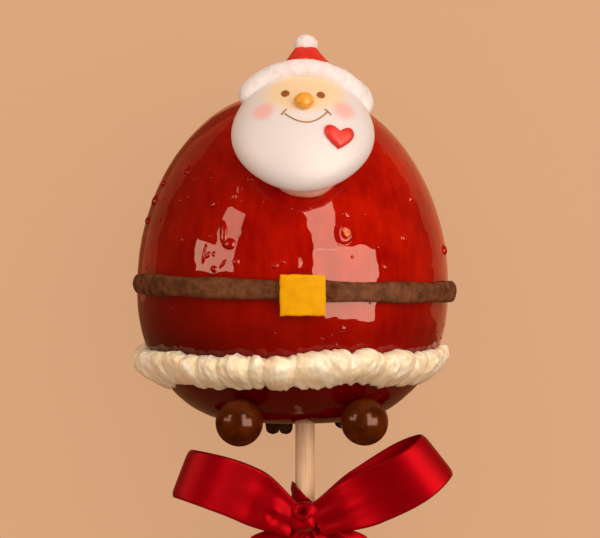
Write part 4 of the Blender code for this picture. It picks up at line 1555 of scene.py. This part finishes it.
@dataclass
class SatinBow:
    """The bow, its knot, its tails and the turn around the stick."""

    width: float = 13.2 * MM
    thickness: float = 0.35 * MM
    knot_half: tuple[float, float, float] = (3.9 * MM, 3.9 * MM, 2.1 * MM)
    hollow: tuple[float, float] = (-0.2 * MM, 1.5 * MM)  # where the knot's fold opens
    front: float = 7.0 * MM
    loop_depth: float = 4.2 * MM
    rounding: float = 0.55 * MM  # how far the far folds' corners are drawn in
    puff: tuple[float, float] = (-5.4 * MM, -58.2 * MM)  # where the left loop bulges beside the knot
    steps: int = 120
    lines: int = 24
    loops: tuple[tuple[str, LoopCut], ...] = (
        ("left", LoopCut((-2.6, -60.0), (-31.8, -47.4), 0.01, 1.6, -0.35, 0.6, 1.6, 0.35)),
        ("right", LoopCut((2.6, -59.8), (34.0, -42.6), -0.04, -0.9, 1.0, 0.3, -1.5, 0.6)),
    )
    tails: tuple[tuple[str, float, float, float], ...] = (
        ("left", -1.0, math.radians(246.0), 60.0 * MM),
        ("right", 1.0, math.radians(291.0), 54.0 * MM),
    )

    def __post_init__(self) -> None:
        """Reads where the stick's axis lies."""
        self.axis = centre_of("stick")
        self.axis.y = 0.0

    def strip(self, name: str, rows: Grid, length: float, finish: bpy.types.Material, node: str) -> bpy.types.Object:
        """Makes a strip of ribbon from its cross lines.

        Args:
            name: the piece's name.
            rows: its cross lines.
            length: its length when flat.
            finish: its material.
            node: the CAD node that it replaces.

        Returns:
            The piece.
        """
        count, wide = len(rows) - 1, len(rows[0]) - 1

        def cloth(row: int, column: int) -> tuple[float, float]:
            """Metres across and along the ribbon."""
            return column / wide * self.width, row / count * length

        piece = as_object(name, grid_mesh(name, rows, uv=cloth))
        thick = piece.modifiers.new("Thickness", "SOLIDIFY")
        thick.thickness = self.thickness
        thick.offset = 0.0
        return dress(baked(piece), finish, [node])

    def loop(self, side: str, cut: LoopCut, finish: bpy.types.Material) -> bpy.types.Object:
        """One loop: out from the knot in front, over its far end and back behind."""
        near = Vector((cut.near[0], cut.near[1], 0.0)) * MM
        heading = Vector((cut.far[0], cut.far[1], 0.0)) * MM - near
        length = heading.length
        heading.normalize()
        across = Vector((-heading.y, heading.x, 0.0)) * (1.0 if side == "right" else -1.0)
        start = self.axis + near + Vector((0.0, 0.0, self.front))
        rows: Grid = []
        for i in range(self.steps + 1):
            turn = 2 * math.pi * i / self.steps
            along = length * (1.0 - math.cos(turn)) / 2
            opened = 1.54 * math.sin(turn) * (1.0 - math.cos(turn)) / 2
            front = self.loop_depth * opened + 0.9 * MM * math.cos(turn / 2)
            pinch = 0.66 + 0.3 * smooth_step(along / length / 0.4) + 0.12 * math.sin(math.pi * along / length)
            aside = MM * (cut.bow * math.sin(math.pi * along / length) - cut.shear * opened * abs(opened))
            gather = (1.0 - smooth_step(along / length / 0.6)) * cut.gather * MM
            front_side = max(0.0, math.cos(turn / 2))
            wave = cut.swell * MM * math.sin(2 * math.pi * (along / length - cut.steep) / 0.7) * front_side
            row = []
            for k in range(self.lines + 1):
                share = k / self.lines - 0.5
                slanted = along * (1.0 + 4 * cut.skew * share * self.width / length)
                slanted -= self.rounding * abs(2 * share) ** 10 * (along / length) ** 12
                place = start + heading * slanted + Vector((0.0, 0.0, front))
                place += across * (share * self.width * pinch + aside)
                pleat = gather * math.sin(2 * math.pi * 2.2 * share + 0.8)
                place.z += pleat * math.sin(turn / 2) ** 0.5 + wave * smooth_step(along / length / 0.3)
                if side == "left":
                    far = math.hypot(place.x - self.puff[0], place.y - self.puff[1]) / MM
                    puff = 1.3 * math.exp(-((far / 3.3) ** 2)) - 1.0 * math.exp(-((far / 1.3) ** 2))
                    place.z += puff * MM * front_side
                row.append(place)
            rows.append(row)
        piece = self.strip("bow_ribbon_" + side, rows, 2.1 * length, finish, "bow_loop_" + side)
        return piece

    def tail(
        self, side: str, hand: float, angle: float, length: float, finish: bpy.types.Material
    ) -> bpy.types.Object:
        """A loose end that droops to the table and is cut on the slant."""
        heading = Vector((math.cos(angle), math.sin(angle), 0.0))
        across = Vector((-heading.y, heading.x, 0.0))
        start = self.axis + Vector((1.0 * MM, -60.5 * MM, 4.4 * MM))
        drop = start.z - 0.3 * MM
        rows: Grid = []
        count = 90
        for i in range(count + 1):
            row = []
            for k in range(self.lines + 1):
                share = k / self.lines - 0.5
                slant = 0.5 * self.width * share * (i / count) ** 2
                along = length * i / count + slant
                down = max(0.0, along / length)
                pinch = 0.38 + 0.62 * smooth_step(down / 0.13)
                fallen = smooth_step(down / 0.86) ** 1.6
                aside = hand * (0.3 * MM + self.width / 2 * pinch * across.x)
                place = start + heading * along + across * share * self.width * pinch
                place.x += aside
                place.z -= drop * fallen
                place.z += 0.5 * MM * math.sin(2 * math.pi * 1.5 * share) * (1.0 - smooth_step(down / 0.5))
                row.append(place)
            rows.append(row)
        path = sum((rows[i + 1][self.lines // 2] - rows[i][self.lines // 2]).length for i in range(count))
        piece = self.strip("tail_ribbon_" + side, rows, path, finish, "ribbon_tail_" + side)
        return piece

    def knot(self, finish: bpy.types.Material) -> None:
        """The knot's plump middle, pleated, with the ribbon's turn around the stick."""
        centre = centre_of("bow_knot") + Vector((-0.8 * MM, 0.0, 0.0))
        rows: Grid = []
        rings, columns = 60, 96
        for i in range(rings + 1):
            up = math.pi / 2 - math.pi * i / rings
            row = []
            for k in range(columns):
                turn = 2 * math.pi * k / columns
                way = Vector((math.cos(up) * math.sin(turn), math.sin(up), math.cos(up) * math.cos(turn)))
                pleat = 0.06 * math.sin(6 * way.x + 5.0 * way.y + 1.0) * math.cos(up)
                square = (abs(way.x) ** 3 + abs(way.y) ** 3 + abs(way.z) ** 3) ** (-1 / 3)
                reach = square * (0.94 + pleat + 0.05 * noise.noise(way * 2.5))
                local = Vector([reach * way[n] * self.knot_half[n] for n in range(3)])
                if way.z > 0:
                    far = math.hypot(local.x - self.hollow[0], local.y - self.hollow[1]) / MM
                    below = smooth_step(0.5 - (local.y - self.hollow[1]) / (1.6 * MM))
                    lip = 0.5 * below * math.exp(-(((far - 1.7) / 0.6) ** 2))
                    local.z += (lip - 3.3 * math.exp(-((far / 0.8) ** 2))) * MM * smooth_step(way.z * 3)
                row.append(centre + local)
            rows.append(row)
        mesh = grid_mesh(
            "bow_knot_satin", rows, around=True, capped=True, uv=lambda r, c: (c * 0.2 * MM, r * 0.2 * MM)
        )
        dress(as_object("bow_knot_satin", mesh), finish, ["bow_knot"])
        low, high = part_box("ribbon_wrap")
        outer = (high.x - low.x) / 2
        rows = []
        for k in range(72):
            angle = 2 * math.pi * k / 72
            top = high.y - 3.2 * MM - 0.9 * outer * math.cos(angle)
            foot = low.y + 1.2 * MM * (1.0 + math.sin(angle))
            row = []
            for n in range(25):
                level = foot + (top - foot) * n / 24
                reach = outer + 0.15 * MM * math.sin(level / MM * 2.2 + angle)
                row.append(
                    Vector((self.axis.x + reach * math.cos(angle), level, self.axis.z + reach * math.sin(angle)))
                )
            rows.append(row)
        mesh = grid_mesh(
            "bow_wrap_satin", rows, closed=True, uv=lambda r, c: (c * 0.55 * MM, r * 0.3 * MM)
        )
        piece = as_object("bow_wrap_satin", mesh)
        thick = piece.modifiers.new("Thickness", "SOLIDIFY")
        thick.thickness = self.thickness
        thick.offset = -1.0
        dress(baked(piece), finish, ["ribbon_wrap"])

    def build(self, finish: bpy.types.Material) -> None:
        """Makes the knot and the turn around the stick, then the loops and the tails."""
        self.knot(finish)
        for side, cut in self.loops:
            self.loop(side, cut, finish)
        for side, hand, angle, length in self.tails:
            self.tail(side, hand, angle, length, finish)


# ---------------------------------------------------------------- studio


@dataclass(frozen=True)
class SoftBox:
    """A rectangular light: its place and size in metres, the way it faces, and how bright it is.

    A box is either a broad light on the sweet or one whose shape shows in the gloss, as a real studio's
    boxes would need dimming plates to be both.
    """

    name: str
    place: tuple[float, float, float]
    faces: tuple[float, float, float]
    size: tuple[float, float]
    radiance: float
    colour: str = "#ffffff"
    in_gloss: bool = False


@dataclass
class Studio:
    """The plain warm floor, the soft lights and the camera above them."""

    aim: tuple[float, float] = (1.9 * MM, 4.4 * MM)
    tip: float = math.radians(1.2)
    distance: float = 0.75
    floor_colour: str = "#6e5344"
    floor_glow: str = "#c69872"
    room_colour: str = "#ffb070"
    room: float = 0.19
    boxes: tuple[SoftBox, ...] = (
        SoftBox("overhead", (0.0, 0.45, 1.4), (0.0, 0.3, 1.0), (2.6, 2.6), 1.26, "#fffcf8"),
        SoftBox("key", (0.45, 0.2, 0.52), (0.62, 0.26, 0.7), (0.6, 0.6), 1.5, "#fffcf8"),
        SoftBox("window_top", (0.193, 0.266, 0.482), (0.55, 0.1, 0.83), (0.183, 0.25), 12.5, "#ffccb0", True),
        SoftBox("window", (0.32, 0.0, 0.431), (0.55, 0.1, 0.83), (0.455, 0.3), 13.5, "#ffccb0", True),
        SoftBox("left_window", (-0.426, 0.097, 0.294), (-0.8, 0.3, 0.5), (0.309, 0.093), 10.0, "#ffccb0", True),
        SoftBox("left_window_top", (-0.349, 0.216, 0.345), (-0.8, 0.3, 0.5), (0.142, 0.157), 9.0, "#ffccb0", True),
        SoftBox("backdrop_glow", (0.32, 0.28, -0.5), (0.0, 0.0, -1.0), (0.95, 0.8), 0.6, "#eaa070", True),
        SoftBox("left_glow", (-0.53, 0.32, -0.4), (0.0, 0.0, -1.0), (0.5, 0.7), 0.36, "#ea9060", True),
    )

    def floor(self) -> None:
        """The warm paper that the sweet lies on."""
        bm = bmesh.new()
        bmesh.ops.create_grid(bm, x_segments=2, y_segments=2, size=1.5)
        mesh = bpy.data.meshes.new("paper_floor")
        bm.to_mesh(mesh)
        bm.free()
        # lit from behind a little, as a light table is, so that shadows on it stay faint
        material, _, _ = Finish("warm_paper").start(
            Roughness=0.95,
            Specular_IOR_Level=0.0,
            Base_Color=linear(self.floor_colour),
            Emission_Color=linear(self.floor_glow),
            Emission_Strength=1.0,
        )
        mesh.materials.append(material)
        piece = as_object("paper_floor", mesh)
        piece.visible_glossy = False

    def lights(self) -> None:
        """The soft boxes, and the dim room around them."""
        for box in self.boxes:
            lamp = bpy.data.lights.new(box.name, "AREA")
            lamp.shape = "RECTANGLE"
            lamp.size, lamp.size_y = box.size
            lamp.energy = box.radiance * math.pi * box.size[0] * box.size[1]
            lamp.color = linear(box.colour)[:3]
            holder = bpy.data.objects.new(box.name, lamp)
            away = Vector(box.faces).normalized()
            up = (Vector((0.0, 1.0, 0.0)) - away * away.y).normalized()
            turned = Matrix((up.cross(away), up, away)).transposed()
            holder.location = box.place
            holder.rotation_euler = turned.to_euler()
            holder.visible_glossy = box.in_gloss
            holder.visible_diffuse = not box.in_gloss
            bpy.context.scene.collection.objects.link(holder)
        world = bpy.data.worlds.new("dim_room")
        world.use_nodes = True
        backdrop = world.node_tree.nodes["Background"]
        backdrop.inputs["Color"].default_value = linear(self.room_colour)
        backdrop.inputs["Strength"].default_value = self.room
        bpy.context.scene.world = world

    def camera(self, target: Vector) -> None:
        """The camera, looking down on the front."""
        lens = bpy.data.cameras.new("camera")
        lens.lens = 175.0
        lens.sensor_width = 36.0
        holder = bpy.data.objects.new("camera", lens)
        way = Vector((0.0, math.sin(self.tip), math.cos(self.tip)))
        holder.location = target + way * self.distance
        holder.rotation_euler = (-self.tip, 0.0, 0.0)
        bpy.context.scene.collection.objects.link(holder)
        bpy.context.scene.camera = holder

    def build(self, form: AppleForm) -> None:
        """Makes the floor, the lights and the camera."""
        target = Vector((*self.aim, form.axis_z))
        self.floor()
        self.lights()
        self.camera(target)
        bpy.context.scene.view_settings.view_transform = "Standard"


# ---------------------------------------------------------------- the whole sweet


def main() -> None:
    """Builds every sub-assembly in order."""
    logging.basicConfig(level=logging.INFO, format="%(name)s: %(message)s")
    finish = {slot: style.build() for slot, style in FINISHES.items()}
    apple, face = AppleForm(), HeadForm()
    coat = ToffeeApple(apple)
    coat.build(finish[Slot.TOFFEE])
    Bubbles(apple, coat).build(finish[Slot.TOFFEE], AMBER.build())
    Stick().build(finish[Slot.WOOD])
    Calyx().build(finish[Slot.CALYX])
    Belt(apple).build(finish[Slot.CHOCOLATE])
    Buckle(apple).build(finish[Slot.YELLOW])
    PipedTrim(apple).build(finish[Slot.CREAM])
    Feet().build(finish[Slot.BALL])
    SugarHead(face).build(finish[Slot.WHITE], BROWN_INK.build(), OCHRE_INK.build())
    Nose(face).build(finish[Slot.NOSE])
    Heart(face).build(finish[Slot.RED])
    FurBrim(face).build(finish[Slot.FUR])
    Cap(face).build(finish[Slot.RED], finish[Slot.FUR])
    IcingDab(face).build(finish[Slot.ICING])
    SatinBow().build(finish[Slot.SATIN])
    Studio().build(apple)


if __name__ == "__main__":
    main()
